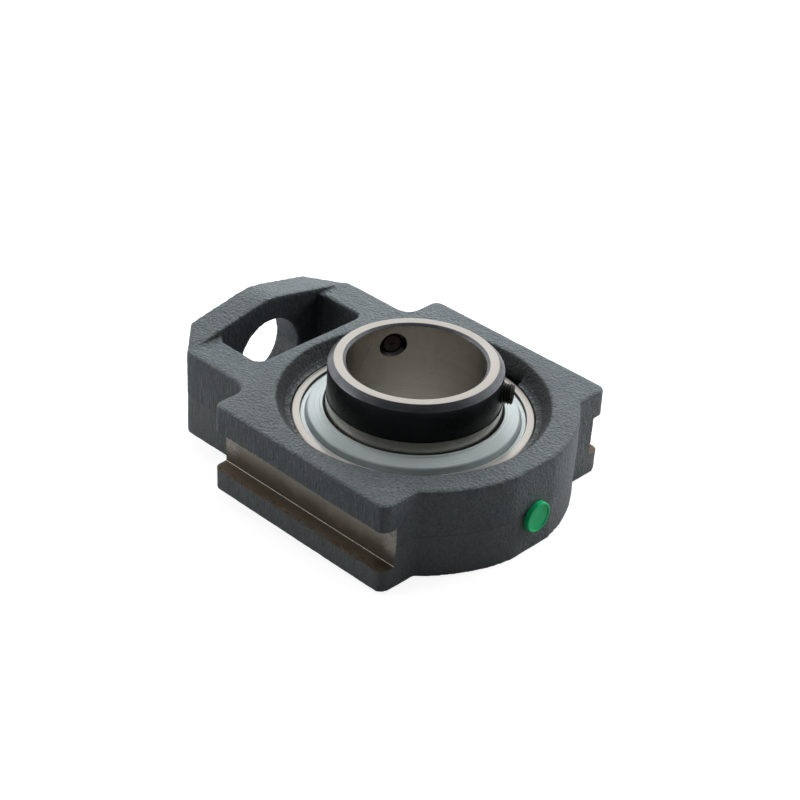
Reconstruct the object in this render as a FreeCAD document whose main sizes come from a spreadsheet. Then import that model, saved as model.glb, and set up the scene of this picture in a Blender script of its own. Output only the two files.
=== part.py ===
import FreeCAD, Part
import math
import os

import Sketcher

# A take up bearing unit: a cast housing that slides between two rails, with a wide inner ring
# ball bearing insert in its spherical seat. Millimetres and degrees.
# The origin is the bearing's centre, +Z runs along the shaft to the set screw side, +X from the
# take up screw's boss to the rounded nose, and +Y across from one guide groove to the other.

SIZES = [
    # the bearing insert, a standard 50 mm bore
    ("shaft_radius", 25, "bore of the inner ring"),
    ("inner_wall", 3.55, "inner ring's wall under its raceway"),
    ("outer_wall", 3.55, "outer ring's wall over its raceway"),
    ("outer_width", 22, "width of the outer ring"),
    ("ring_above", 32.6, "centre to the inner ring's face on the screw side"),
    ("ring_below", 19, "centre to the inner ring's plain face"),
    ("collar_relief", 0.3, "blackened collar below the ground land"),
    ("collar_chamfer", 2.1, "bevel round the top of the collar"),
    ("land_top", 18.4, "where the land meets the collar"),
    ("bore_chamfer", 0.8, "bevel at both ends of the bore"),
    ("foot_chamfer", 1, "bevel round the inner ring's plain end"),
    ("ball_count", 10, "balls"),
    ("ball_radius", 6.35, "half inch balls"),
    ("race_ease", 0.25, "raceway's section over the ball's"),
    ("race_clearance", 0.1, "ball to raceway at rest"),
    ("inner_race_depth", 3.15, "depth of the inner raceway below the land"),
    ("outer_race_depth", 2.45, "depth of the outer raceway beyond its shoulders"),
    ("seal_ledge", 1.65, "ledge in the outer ring that a shield sits on"),
    ("seal_bore_depth", 1.8, "depth of the recess over that ledge"),
    ("ring_chamfer", 0.4, "bevel round the outer ring's faces"),
    ("oil_groove_place", -5.9, "height of the grease groove round the outer ring"),
    ("oil_groove_width", 2.4, "width of that groove"),
    ("oil_groove_depth", 0.7, "depth of that groove"),
    ("oil_hole_radius", 0.8, "hole from the groove to the balls"),
    # the ribbon cage, two pressed halves held by rivets
    ("cage_sheet", 0.9, "thickness of the cage's sheet"),
    ("cage_width", 3.6, "width of the ribbon"),
    ("pocket_gap", 0.25, "ball to its pocket"),
    ("rivet_radius", 0.9, "shank of a rivet"),
    ("rivet_head_radius", 1.6, "head of a rivet"),
    ("rivet_head_height", 0.7, "height of a rivet's head"),
    ("rivet_gap", 0.05, "rivet to its hole"),
    # the seals, each a pressed steel shield with a rubber lip under its inner edge
    ("shield_sheet", 0.8, "thickness of the shield's sheet"),
    ("shield_gap", 0.1, "shield to the outer ring"),
    ("shield_lean", 0.5, "the shield's step leans in by this"),
    ("shield_step", 3.1, "rise of that step from the ledge"),
    ("shield_slope", 1.4, "rise of the shield towards its inner edge"),
    ("shield_fold", 0.4, "last small step at the inner edge"),
    ("shield_flat", 1.2, "width of the inner edge"),
    ("shield_reach", 0.9, "inner edge to the ground land"),
    ("lip_gap", 0.08, "rubber lip to the ground land"),
    ("lip_width", 0.5, "width of the lip's running edge"),
    ("lip_depth", 1.6, "depth of the rubber under the shield"),
    # the set screws
    ("screw_radius", 3.95, "M8 set screw"),
    ("thread_gap", 0.05, "set screw to its tapped hole"),
    ("screw_length", 10, "length of a set screw"),
    ("screw_inset", 8.4, "screws' axes below the collar's face"),
    ("screw_angle", 33.1, "direction of the first screw"),
    ("screw_spacing", 120, "angle from the first screw to the second"),
    ("screw_back_1", 1, "first screw's point back from the bore"),
    ("screw_back_2", 0.2, "second screw's point back from the bore"),
    ("screw_cup_radius", 1.9, "rim of the cup point"),
    ("screw_cup_depth", 0.9, "depth of the cup point"),
    ("screw_end_chamfer", 0.6, "bevel at the socket end"),
    ("socket_width", 4, "across the flats of the hexagon socket"),
    ("socket_depth", 4.5, "depth of the socket"),
    # the cast housing
    ("body_thickness", 35, "thickness of the body"),
    ("seat_gap", 0.08, "running clearance of the spherical seat"),
    ("seat_inset", 0.2, "seat narrower than the ring at each side"),
    ("seat_lead", 0.9, "rise of the machined lead into the seat"),
    ("recess_ledge", 0.5, "foot of the cast recess outside the sphere"),
    ("recess_flare", 3.6, "recess opens by this towards the face"),
    ("slot_width", 26, "loading slots beside the seat"),
    ("slot_clearance", 1.3, "bottom of a loading slot to the sphere"),
    ("groove_wall", 4.7, "bottom of a loading slot to the guide groove"),
    ("flange_depth", 6.25, "depth of the guide grooves"),
    ("guide_length", 84.6, "length of the guide flanges"),
    ("groove_width", 16, "width of a guide groove"),
    ("groove_rise", -1.1, "middle of the grooves above the body's middle"),
    ("nose_wall", 10.4, "recess's rim to the rounded nose"),
    ("nose_flat_cut", 0.8, "depth of the flat on the nose"),
    ("window_bridge", 4.4, "recess's rim to the nut window"),
    ("window_length", 22.5, "nut window along the travel"),
    ("window_side", 15.2, "wall beside the nut window"),
    ("window_corner", 5, "radius in the window's corners"),
    ("boss_width", 82.8, "width of the boss"),
    ("end_wall", 13, "thickness of the wall that takes the screw"),
    ("ridge_height", 50.1, "thickness of the end wall at its ridge, before rounding"),
    ("ridge_rounding", 30, "radius along the ridge"),
    ("eave_inset", 3.2, "sloping faces begin this far inside the boss's sides"),
    ("screw_way_radius", 14.5, "hole for the take up screw"),
    ("ear_corner", 3.5, "upright corners of the guide flanges"),
    ("boss_fillet", 5, "upright corners between boss and flanges"),
    ("nose_fillet", 2.5, "upright corners between nose and flanges"),
    ("end_corner", 2, "upright corners of the boss's end"),
    ("cast_edge", 1.2, "soft edges of the casting"),
    ("screw_way_edge", 0.8, "soft edges of the take up screw's hole"),
    # the grease hole and its transport plug
    ("grease_height", -3.5, "height of the grease hole"),
    ("grease_side", 0.8, "grease hole beside the middle"),
    ("grease_hole_radius", 3, "grease hole in the nose"),
    ("plug_gap", 0.08, "plug's stem to the hole"),
    ("plug_stem_length", 8, "length of the plug's stem"),
    ("plug_head_radius", 5.8, "head of the plug"),
    ("plug_head_height", 2, "height of the plug's head"),
    ("plug_rim", 0.8, "width of the raised rim on the head"),
    ("plug_dish", 0.3, "depth inside the rim"),
    ("plug_edge", 0.3, "bevel on the rim"),
    ("plug_core_radius", 1.7, "hollow in the stem"),
]


class Length:
    """A number together with the sheet formula that it comes from."""

    def __init__(self, value, text):
        self.value = value
        self.text = text

    def __add__(self, other):
        other = as_length(other)
        return Length(self.value + other.value, "(%s + %s)" % (self.text, other.text))

    def __sub__(self, other):
        other = as_length(other)
        return Length(self.value - other.value, "(%s - %s)" % (self.text, other.text))

    def __mul__(self, other):
        other = as_length(other)
        return Length(self.value * other.value, "(%s * %s)" % (self.text, other.text))

    def __truediv__(self, other):
        other = as_length(other)
        return Length(self.value / other.value, "(%s / %s)" % (self.text, other.text))

    def __neg__(self):
        return as_length(0) - self


def as_length(item):
    return item if isinstance(item, Length) else Length(float(item), repr(item))


def root(item):
    return Length(math.sqrt(item.value), "sqrt(%s)" % item.text)


def cosine(angle):
    return Length(math.cos(math.radians(angle.value)), "cos(%s * 1 deg)" % angle.text)


def sine(angle):
    return Length(math.sin(math.radians(angle.value)), "sin(%s * 1 deg)" % angle.text)


def across(radius, place):
    """Half the chord of a circle at a distance from its centre."""
    return root(radius * radius - place * place)


class Sizes:
    """The sheet's values by name."""


doc = FreeCAD.newDocument("take_up_bearing_unit")
sheet = doc.addObject("Spreadsheet::Sheet", "sizes")
S = Sizes()
for row, (alias, number, note) in enumerate(SIZES, 1):
    sheet.set("A%d" % row, alias.replace("_", " "))
    sheet.set("B%d" % row, str(number))
    sheet.set("C%d" % row, note)
    sheet.setAlias("B%d" % row, alias)
    setattr(S, alias, Length(float(number), "sizes." + alias))
doc.recompute()

ZERO = as_length(0)
CENTRE = (ZERO, ZERO)
# a cut that has to pass right through goes this far beyond the face
OVERSHOOT = as_length(5)

# the bearing insert, worked outwards from the shaft
inner_race = S.shaft_radius + S.inner_wall
pitch_radius = inner_race + S.race_clearance + S.ball_radius
outer_race = pitch_radius + S.ball_radius + S.race_clearance
sphere_radius = outer_race + S.outer_wall
race_radius = S.ball_radius + S.race_ease
land_radius = inner_race + S.inner_race_depth
collar_radius = land_radius - S.collar_relief
shoulder_radius = outer_race - S.outer_race_depth
seal_bore_radius = shoulder_radius + S.seal_ledge
half_ring = S.outer_width / 2
ledge_height = half_ring - S.seal_bore_depth
screw_height = S.ring_above - S.screw_inset

# the housing, worked outwards from the bearing's sphere
half_body = S.body_thickness / 2
seat_radius = sphere_radius + S.seat_gap
seat_half = half_ring - S.seat_inset
recess_foot = sphere_radius + S.recess_ledge
recess_radius = recess_foot + S.recess_flare
slot_reach = sphere_radius + S.slot_clearance
groove_floor = slot_reach + S.groove_wall
half_ears = groove_floor + S.flange_depth
half_guide = S.guide_length / 2
half_boss = S.boss_width / 2
half_window = half_boss - S.window_side
nose_radius = recess_radius + S.nose_wall
nose_flat = nose_radius - S.nose_flat_cut
wall_face = recess_radius + S.window_bridge + S.window_length
boss_end = wall_face + S.end_wall


# sketches and features

def bind(item, path, length):
    item.setExpression(path, length.text)


def point(pair):
    return FreeCAD.Vector(pair[0].value, pair[1].value, 0)


def new_sketch(body, name, role, offset=None):
    """A sketch on one of the body's own base planes, moved along the plane's normal."""
    sketch = body.newObject("Sketcher::SketchObject", name)
    plane = next(item for item in body.Origin.OriginFeatures if item.Role == role)
    sketch.AttachmentSupport = [(plane, "")]
    sketch.MapMode = "FlatFace"
    if offset is not None:
        place = FreeCAD.Vector(0, 0, offset.value)
        sketch.AttachmentOffset = FreeCAD.Placement(place, FreeCAD.Rotation())
        bind(sketch, "AttachmentOffset.Base.z", offset)
    return sketch


def locate(sketch, geometry, end, pair, across_only=None):
    """Ties a point of the sketch to its two coordinates, or to one of them."""
    for axis, kind in enumerate(("DistanceX", "DistanceY")):
        if across_only is None or across_only == axis:
            number = sketch.addConstraint(Sketcher.Constraint(kind, -1, 1, geometry, end, pair[axis].value))
            bind(sketch, "Constraints[%d]" % number, pair[axis])


def arc_between(centre, start, end, turn):
    """An arc of a circle, anticlockwise where turn is 1. Returns it with its first and last ends."""
    first, last = (start, end) if turn > 0 else (end, start)
    angles = [math.atan2((item - centre).y, (item - centre).x) for item in (first, last)]
    circle = Part.Circle(centre, FreeCAD.Vector(0, 0, 1), centre.distanceToPoint(start))
    return Part.ArcOfCircle(circle, angles[0], angles[1]), (1, 2) if turn > 0 else (2, 1)


def outline(sketch, corners, arcs=None):
    """A closed outline. arcs gives, for the corner where an arc begins, its centre and its turn."""
    arcs = arcs or {}
    count = len(corners)
    sides = []
    for number in range(count):
        start = point(corners[number])
        end = point(corners[(number + 1) % count])
        if number in arcs:
            centre, turn = arcs[number]
            shape, ends = arc_between(point(centre), start, end, turn)
        else:
            shape, ends = Part.LineSegment(start, end), (1, 2)
        sides.append((sketch.addGeometry(shape, False), ends))
    for number in range(count):
        side, ends = sides[number]
        after, after_ends = sides[(number + 1) % count]
        sketch.addConstraint(Sketcher.Constraint("Coincident", side, ends[1], after, after_ends[0]))
        if number in arcs:
            locate(sketch, side, 3, arcs[number][0])
    for number in range(count):
        side, ends = sides[number]
        before = (number - 1) % count
        single = None
        if before in arcs:
            away = point(corners[number]) - point(arcs[before][0])
            single = 0 if abs(away.y) > abs(away.x) else 1
        locate(sketch, side, ends[0], corners[number], single)
    return sketch


def rectangle(sketch, low, high):
    return outline(sketch, [low, (high[0], low[1]), high, (low[0], high[1])])


def circle(sketch, centre, radius):
    shape = Part.Circle(point(centre), FreeCAD.Vector(0, 0, 1), radius.value)
    side = sketch.addGeometry(shape, False)
    locate(sketch, side, 3, centre)
    number = sketch.addConstraint(Sketcher.Constraint("Radius", side, radius.value))
    bind(sketch, "Constraints[%d]" % number, radius)
    return sketch


def hexagon(sketch, flats):
    """A hexagon about the sketch's origin, with two flats across the upright axis."""
    half_flat = flats / 2
    half_side = half_flat / root(as_length(3))
    corners = [(half_side * 2, ZERO), (half_side, half_flat), (-half_side, half_flat)]
    corners += [(-half_side * 2, ZERO), (-half_side, -half_flat), (half_side, -half_flat)]
    return outline(sketch, corners)


def straight(body, kind, name, sketch, length, both=False, reverse=False):
    """A pad or pocket of the sketch, to one side or half to each side."""
    feature = body.newObject("PartDesign::" + kind, name)
    feature.Profile = sketch
    feature.SideType = "Symmetric" if both else "One side"
    feature.Reversed = reverse
    feature.Length = length.value
    bind(feature, "Length", length)
    sketch.Visibility = False
    return feature


def turned(body, kind, name, sketch, axis="V_Axis"):
    """A revolution or groove of the sketch, all the way round one of its axes."""
    feature = body.newObject("PartDesign::" + kind, name)
    feature.Profile = sketch
    feature.ReferenceAxis = (sketch, [axis])
    feature.Angle = 360
    sketch.Visibility = False
    return feature


def ball_shape(body, kind, name, radius):
    """A sphere added to or cut from the body where its first ball runs."""
    feature = body.newObject("PartDesign::%sSphere" % kind, name)
    bind(feature, "Radius", radius)
    plane = next(item for item in body.Origin.OriginFeatures if item.Role == "XY_Plane")
    feature.AttachmentSupport = [(plane, "")]
    feature.MapMode = "FlatFace"
    angle = as_length(180) / S.ball_count
    bind(feature, "AttachmentOffset.Base.x", pitch_radius * cosine(angle))
    bind(feature, "AttachmentOffset.Base.y", pitch_radius * sine(angle))
    return feature


def around(body, name, originals, count, angle=None):
    """Copies of features round the Z axis, over the full turn or an angle apart."""
    doc.recompute()
    feature = body.newObject("PartDesign::PolarPattern", name)
    feature.Originals = originals
    axis = next(item for item in body.Origin.OriginFeatures if item.Role == "Z_Axis")
    feature.Axis = (axis, [""])
    feature.Occurrences = int(count.value)
    bind(feature, "Occurrences", count)
    if angle is not None:
        feature.Mode = "Spacing"
        feature.Offset = angle.value
        bind(feature, "Offset", angle)
    body.Tip = feature
    return feature


def soften(body, name, radius, keep, kind="Fillet"):
    """A fillet or chamfer on each edge of the body that keep accepts."""
    doc.recompute()
    base = body.Tip
    edges = ["Edge%d" % number for number, edge in enumerate(base.Shape.Edges, 1) if keep(edge)]
    if not edges:
        raise RuntimeError("no edges for " + name)
    feature = body.newObject("PartDesign::" + kind, name)
    feature.Base = (base, edges)
    size = "Radius" if kind == "Fillet" else "Size"
    setattr(feature, size, radius.value)
    bind(feature, size, radius)
    return feature


def new_body(label):
    body = doc.addObject("PartDesign::Body", label)
    body.Label = label
    return body


def turn_about_z(item, angle):
    item.Placement = FreeCAD.Placement(FreeCAD.Vector(), FreeCAD.Rotation(FreeCAD.Vector(0, 0, 1), angle.value))
    bind(item, "Placement.Rotation.Angle", angle)


def flip_over(item):
    """Half a turn about the X axis, for the lower one of a pair."""
    item.Placement = FreeCAD.Placement(FreeCAD.Vector(), FreeCAD.Rotation(FreeCAD.Vector(1, 0, 0), 180))


NEAR = 0.01


def spot(edge):
    return edge.CenterOfMass


def is_upright(edge):
    box = edge.BoundBox
    return box.XLength < NEAR and box.YLength < NEAR and box.ZLength > NEAR


def stands_at(edge, x, y):
    """An upright edge at this x and at y to either side."""
    place = spot(edge)
    return is_upright(edge) and abs(place.x - x.value) < NEAR and abs(abs(place.y) - y.value) < NEAR


def is_level(edge, height):
    """An edge that lies level at this height above or below the middle."""
    return edge.BoundBox.ZLength < NEAR and abs(abs(spot(edge).z) - height.value) < NEAR


# the cast housing, one casting with the spherical seat, the guide grooves and the nut's window

def slab(body):
    """The flat body with its two guide flanges, rounded nose and boss."""
    nose_side = across(nose_radius, half_guide)
    flat_half = across(nose_radius, nose_flat)
    near = [(-boss_end, -half_boss + S.end_wall), (-wall_face, -half_boss), (-half_guide, -half_boss)]
    near += [(-half_guide, -half_ears), (half_guide, -half_ears), (half_guide, -nose_side)]
    near += [(nose_flat, -flat_half)]
    far = [(x, -y) for x, y in reversed(near)]
    plan = outline(new_sketch(body, "plan", "XY_Plane"), near + far, {5: (CENTRE, 1), 7: (CENTRE, 1)})
    straight(body, "Pad", "slab", plan, S.body_thickness, both=True)
    soften(body, "ear_corners", S.ear_corner,
           lambda e: stands_at(e, half_guide, half_ears) or stands_at(e, -half_guide, half_ears))
    soften(body, "boss_fillets", S.boss_fillet, lambda e: stands_at(e, -half_guide, half_boss))
    soften(body, "nose_fillets", S.nose_fillet, lambda e: stands_at(e, half_guide, nose_side))
    soften(body, "flat_rounds", S.nose_fillet, lambda e: stands_at(e, nose_flat, flat_half))
    soften(body, "end_rounds", S.end_corner,
           lambda e: stands_at(e, -boss_end, half_boss - S.end_wall) or stands_at(e, -wall_face, half_boss))
    soften(body, "rim", S.cast_edge, lambda e: is_level(e, half_body))


def end_wall():
    """The thicker wall that takes the screw, ridged above and below and cut across its corners."""
    body = new_body("end_wall_block")
    eave = half_boss - S.eave_inset
    ridge = S.ridge_height / 2
    roof = [(-eave, half_body), (-eave, -half_body), (ZERO, -ridge)]
    roof += [(eave, -half_body), (eave, half_body), (ZERO, ridge)]
    section = outline(new_sketch(body, "section", "YZ_Plane", -boss_end), roof)
    straight(body, "Pad", "wall", section, S.end_wall)
    corners = new_sketch(body, "corners", "XY_Plane")
    for side in (1, -1):
        tip = (-boss_end - OVERSHOOT, (half_boss + OVERSHOOT) * side)
        first = (-boss_end - OVERSHOOT, (half_boss - S.end_wall - OVERSHOOT) * side)
        last = (-wall_face + OVERSHOOT, (half_boss + OVERSHOOT) * side)
        outline(corners, [tip, first, last])
    straight(body, "Pocket", "corner_cuts", corners, S.ridge_height + OVERSHOOT, both=True)
    soften(body, "ridge_rounds", S.ridge_rounding,
           lambda e: abs(spot(e).y) < NEAR and e.BoundBox.YLength < NEAR and e.BoundBox.XLength > 1)
    soften(body, "end_rounds", S.end_corner, lambda e: stands_at(e, -boss_end, half_boss - S.end_wall))
    soften(body, "roof_rims", S.cast_edge, is_roof_rim)
    return body


def is_roof_rim(edge):
    """An edge round the end wall's sloping faces, but not the ones down at the eaves."""
    place = spot(edge)
    above = min(abs(vertex.Point.z) for vertex in edge.Vertexes) > half_body.value - NEAR
    inside = abs(place.y) < half_boss.value - S.eave_inset.value - NEAR
    return above and inside and not is_upright(edge) and not along_x(edge)


def along_x(edge):
    return edge.BoundBox.YLength < NEAR and edge.BoundBox.ZLength < NEAR


def machined_ways(body):
    """The guide grooves, the take up screw's hole and the grease hole."""
    middle = S.groove_rise
    grooves = new_sketch(body, "groove_section", "YZ_Plane")
    for side in (1, -1):
        floor = (groove_floor * side, middle - S.groove_width / 2)
        mouth = ((half_ears + OVERSHOOT) * side, middle + S.groove_width / 2)
        rectangle(grooves, floor, mouth)
    straight(body, "Pocket", "guide_grooves", grooves, S.guide_length + OVERSHOOT, both=True)
    way = circle(new_sketch(body, "screw_way_section", "YZ_Plane", OVERSHOOT - wall_face), CENTRE, S.screw_way_radius)
    straight(body, "Pocket", "screw_way", way, S.end_wall + OVERSHOOT * 2)
    soften(body, "screw_way_rims", S.screw_way_edge, is_screw_way_rim)
    start = nose_flat + OVERSHOOT
    hole = new_sketch(body, "grease_section", "YZ_Plane", start)
    circle(hole, (S.grease_side, S.grease_height), S.grease_hole_radius)
    straight(body, "Pocket", "grease_hole", hole, start - slot_reach + OVERSHOOT)


def is_screw_way_rim(edge):
    place = spot(edge)
    ends = abs(place.x + boss_end.value) < NEAR or abs(place.x + wall_face.value) < NEAR
    return ends and abs(edge.Length - 2 * math.pi * S.screw_way_radius.value) < NEAR


def bearing_seat(body):
    """The cast recess on both faces, the spherical seat and the loading slots on the screw side."""
    beyond = half_body + OVERSHOOT
    foot = seat_half + S.seat_lead
    mouth = across(seat_radius, seat_half)
    above = [(mouth, seat_half), (recess_foot, foot), (recess_radius, half_body)]
    above += [(recess_radius, beyond), (ZERO, beyond)]
    below = [(x, -z) for x, z in reversed(above)]
    section = outline(new_sketch(body, "seat_section", "XZ_Plane"), below + above, {4: (CENTRE, 1)})
    turned(body, "Groove", "seat", section)
    soften(body, "recess_rims", S.cast_edge,
           lambda e: is_level(e, half_body) and abs(e.Length - 2 * math.pi * recess_radius.value) < NEAR)
    slots = new_sketch(body, "slot_plan", "XY_Plane")
    rectangle(slots, (-S.slot_width / 2, -slot_reach), (S.slot_width / 2, slot_reach))
    straight(body, "Pocket", "loading_slots", slots, beyond, reverse=True)


def housing():
    body = new_body("housing")
    slab(body)
    doc.recompute()
    joined = body.newObject("PartDesign::Boolean", "with_end_wall")
    joined.Type = "Fuse"
    joined.Group = [end_wall()]
    doc.recompute()
    window = new_sketch(body, "window_plan", "XY_Plane")
    rectangle(window, (-wall_face, -half_window), (S.window_length - wall_face, half_window))
    straight(body, "Pocket", "nut_window", window, S.ridge_height + OVERSHOOT, both=True)
    near_side = S.window_length - wall_face
    soften(body, "window_corners", S.window_corner,
           lambda e: stands_at(e, -wall_face, half_window) or stands_at(e, near_side, half_window))
    machined_ways(body)
    bearing_seat(body)
    return body


# the bearing insert's two rings

def outer_ring():
    """The outer ring with its spherical outside, raceway, recesses for the shields and grease way."""
    body = new_body("outer_ring")
    race_centre = outer_race - race_radius
    race_half = across(race_radius, shoulder_radius - race_centre)
    recess = ledge_height
    corner = half_ring - S.ring_chamfer
    edge = across(sphere_radius, half_ring) - S.ring_chamfer
    low = S.oil_groove_place - S.oil_groove_width / 2
    high = S.oil_groove_place + S.oil_groove_width / 2
    floor = sphere_radius - S.oil_groove_depth
    section = [(edge, -half_ring), (across(sphere_radius, corner), -corner)]
    section += [(across(sphere_radius, low), low), (across(floor, low), low), (across(floor, high), high)]
    section += [(across(sphere_radius, high), high), (across(sphere_radius, corner), corner)]
    section += [(edge, half_ring), (seal_bore_radius, half_ring), (seal_bore_radius, recess)]
    section += [(shoulder_radius, recess), (shoulder_radius, race_half), (shoulder_radius, -race_half)]
    section += [(shoulder_radius, -recess), (seal_bore_radius, -recess), (seal_bore_radius, -half_ring)]
    arcs = {1: (CENTRE, 1), 3: (CENTRE, 1), 5: (CENTRE, 1), 11: ((race_centre, ZERO), -1)}
    sketch = outline(new_sketch(body, "section", "XZ_Plane"), section, arcs)
    turned(body, "Revolution", "ring", sketch)
    hole = new_sketch(body, "oil_hole_section", "YZ_Plane", sphere_radius + OVERSHOOT)
    circle(hole, (ZERO, S.oil_groove_place), S.oil_hole_radius)
    straight(body, "Pocket", "oil_hole", hole, sphere_radius + OVERSHOOT - pitch_radius)
    return body


def inner_ring():
    """The wide inner ring with its raceway, ground lands and the collar with two tapped holes."""
    body = new_body("inner_ring")
    race_centre = inner_race + race_radius
    race_half = across(race_radius, race_centre - land_radius)
    bore_mouth = S.shaft_radius + S.bore_chamfer
    section = [(bore_mouth, -S.ring_below), (land_radius - S.foot_chamfer, -S.ring_below)]
    section += [(land_radius, S.foot_chamfer - S.ring_below), (land_radius, -race_half), (land_radius, race_half)]
    section += [(land_radius, S.land_top), (collar_radius, S.land_top)]
    section += [(collar_radius, S.ring_above - S.collar_chamfer), (collar_radius - S.collar_chamfer, S.ring_above)]
    section += [(bore_mouth, S.ring_above), (S.shaft_radius, S.ring_above - S.bore_chamfer)]
    section += [(S.shaft_radius, S.bore_chamfer - S.ring_below)]
    sketch = outline(new_sketch(body, "section", "XZ_Plane"), section, {3: ((race_centre, ZERO), -1)})
    turned(body, "Revolution", "ring", sketch)
    hole = circle(new_sketch(body, "tapped_section", "YZ_Plane"), (ZERO, screw_height), (S.screw_radius + S.thread_gap))
    first = straight(body, "Pocket", "tapped_hole", hole, collar_radius + OVERSHOOT, reverse=True)
    around(body, "tapped_holes", [first], as_length(2), S.screw_spacing)
    turn_about_z(body, S.screw_angle)
    return body


# the balls, the ribbon cage and its rivets

def balls():
    """The row of balls, the first one half a space away from the first rivet."""
    row = []
    for number in range(int(S.ball_count.value)):
        angle = as_length(360) / S.ball_count * (number + 0.5)
        ball = doc.addObject("Part::Sphere", "ball_%02d" % (number + 1))
        ball.Label = "ball_%02d" % (number + 1)
        bind(ball, "Radius", S.ball_radius)
        bind(ball, "Placement.Base.x", pitch_radius * cosine(angle))
        bind(ball, "Placement.Base.y", pitch_radius * sine(angle))
        row.append(ball)
    return row


def cage_half(label):
    """One pressed half of the ribbon cage: a flat ring with a domed pocket over each ball."""
    body = new_body(label)
    ring = new_sketch(body, "ring_plan", "XY_Plane")
    circle(circle(ring, CENTRE, (pitch_radius - S.cage_width / 2)), CENTRE, (pitch_radius + S.cage_width / 2))
    straight(body, "Pad", "ribbon", ring, S.cage_sheet)
    inside = S.ball_radius + S.pocket_gap
    outside = inside + S.cage_sheet
    dome = ball_shape(body, "Additive", "dome", outside)
    around(body, "domes", [dome], S.ball_count)
    low = -outside - OVERSHOOT
    high = outside + OVERSHOOT
    near = (pitch_radius - S.cage_width / 2) - outside
    far = (pitch_radius + S.cage_width / 2) + outside
    trim = [(near, low), (far, low), (far, high), ((pitch_radius + S.cage_width / 2), high), ((pitch_radius + S.cage_width / 2), ZERO)]
    trim += [((pitch_radius - S.cage_width / 2), ZERO), ((pitch_radius - S.cage_width / 2), high), (near, high)]
    turned(body, "Groove", "trim", outline(new_sketch(body, "trim_section", "XZ_Plane"), trim))
    pocket = ball_shape(body, "Subtractive", "pocket", inside)
    around(body, "pockets", [pocket], S.ball_count)
    holes = circle(new_sketch(body, "rivet_plan", "XY_Plane"), (pitch_radius, ZERO), S.rivet_radius + S.rivet_gap)
    hole = straight(body, "Pocket", "rivet_hole", holes, S.cage_sheet + OVERSHOOT, reverse=True)
    around(body, "rivet_holes", [hole], S.ball_count)
    return body


def cage_rivets():
    """The rivets that hold the two halves together, headed on both sides."""
    body = new_body("cage_rivets")
    body.AllowCompound = True
    top = S.cage_sheet + S.rivet_head_height
    side = pitch_radius + S.rivet_radius
    rim = pitch_radius + S.rivet_head_radius
    section = [(pitch_radius, -top), (side, -top), (rim, -S.cage_sheet - S.rivet_head_height / 3)]
    section += [(rim, -S.cage_sheet), (side, -S.cage_sheet)]
    section += [(x, -z) for x, z in reversed(section)]
    sketch = outline(new_sketch(body, "section", "XZ_Plane"), section)
    line = Part.LineSegment(FreeCAD.Vector(pitch_radius.value, -1, 0), FreeCAD.Vector(pitch_radius.value, 1, 0))
    axis = sketch.addGeometry(line, True)
    for end, height in ((1, -S.cage_sheet), (2, S.cage_sheet)):
        locate(sketch, axis, end, (pitch_radius, height))
    rivet = turned(body, "Revolution", "rivet", sketch, "Axis0")
    around(body, "rivets", [rivet], S.ball_count)
    return body


# the seals, a pressed steel shield in each recess with a rubber lip running on the ground land

# the shield's inner edge and heights
shield_edge = land_radius + S.shield_reach
shield_fold = shield_edge + S.shield_flat
crest_height = ledge_height + S.shield_step
fold_height = crest_height + S.shield_slope
edge_height = fold_height + S.shield_fold


def seal_shield(label):
    """The zinc plated shield, with a step up from its seat and a fold near its inner edge."""
    body = new_body(label)
    sheet = S.shield_sheet
    rim = seal_bore_radius - S.shield_gap
    step = seal_bore_radius - S.seal_ledge
    crest = step - S.shield_lean
    section = [(rim, ledge_height), (rim, ledge_height + sheet), (step, ledge_height + sheet), (crest, crest_height)]
    section += [(shield_fold, fold_height), (shield_fold - S.shield_fold, edge_height), (shield_edge, edge_height)]
    section += [(shield_edge, edge_height - sheet), (shield_fold - sheet, edge_height - sheet)]
    section += [(shield_fold - S.shield_fold, fold_height - sheet)]
    section += [(crest - sheet, crest_height - sheet), (step - sheet, ledge_height)]
    turned(body, "Revolution", "shield", outline(new_sketch(body, "section", "XZ_Plane"), section))
    return body


def seal_lip(label):
    """The rubber lip, bonded under the shield's flat inner edge and filling the gap to the land."""
    body = new_body(label)
    bond = edge_height - S.shield_sheet
    back = shield_fold - S.shield_sheet - S.lip_gap
    edge = shield_edge - S.lip_gap
    run = land_radius + S.lip_gap
    section = [(back, bond), (edge, bond), (edge, bond + S.lip_width), (edge - S.lip_width / 2, bond + S.lip_width)]
    section += [(run, bond - S.lip_width / 5), (run, bond - S.lip_width)]
    section += [(run + S.lip_width, bond - S.lip_depth / 2), (run + S.lip_width, bond - S.lip_depth)]
    section += [(back, bond - S.lip_depth)]
    turned(body, "Revolution", "lip", outline(new_sketch(body, "section", "XZ_Plane"), section))
    return body


# the set screws and the plug in the grease hole

def set_screw(label, tip, angle):
    """A hexagon socket set screw with a cup point, lying along its own direction."""
    body = new_body(label)
    end = tip + S.screw_length
    cone = S.screw_radius - S.screw_cup_radius
    bevel = S.screw_end_chamfer
    section = [(tip + S.screw_cup_depth, ZERO), (tip, S.screw_cup_radius), (tip + cone, S.screw_radius)]
    section += [(end - bevel, S.screw_radius), (end, S.screw_radius - bevel), (end, ZERO)]
    turned(body, "Revolution", "screw", outline(new_sketch(body, "section", "XY_Plane"), section), "H_Axis")
    socket = hexagon(new_sketch(body, "socket_section", "YZ_Plane", end), S.socket_width)
    straight(body, "Pocket", "socket", socket, S.socket_depth)
    turn_about_z(body, angle)
    bind(body, "Placement.Base.z", screw_height)
    return body


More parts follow.
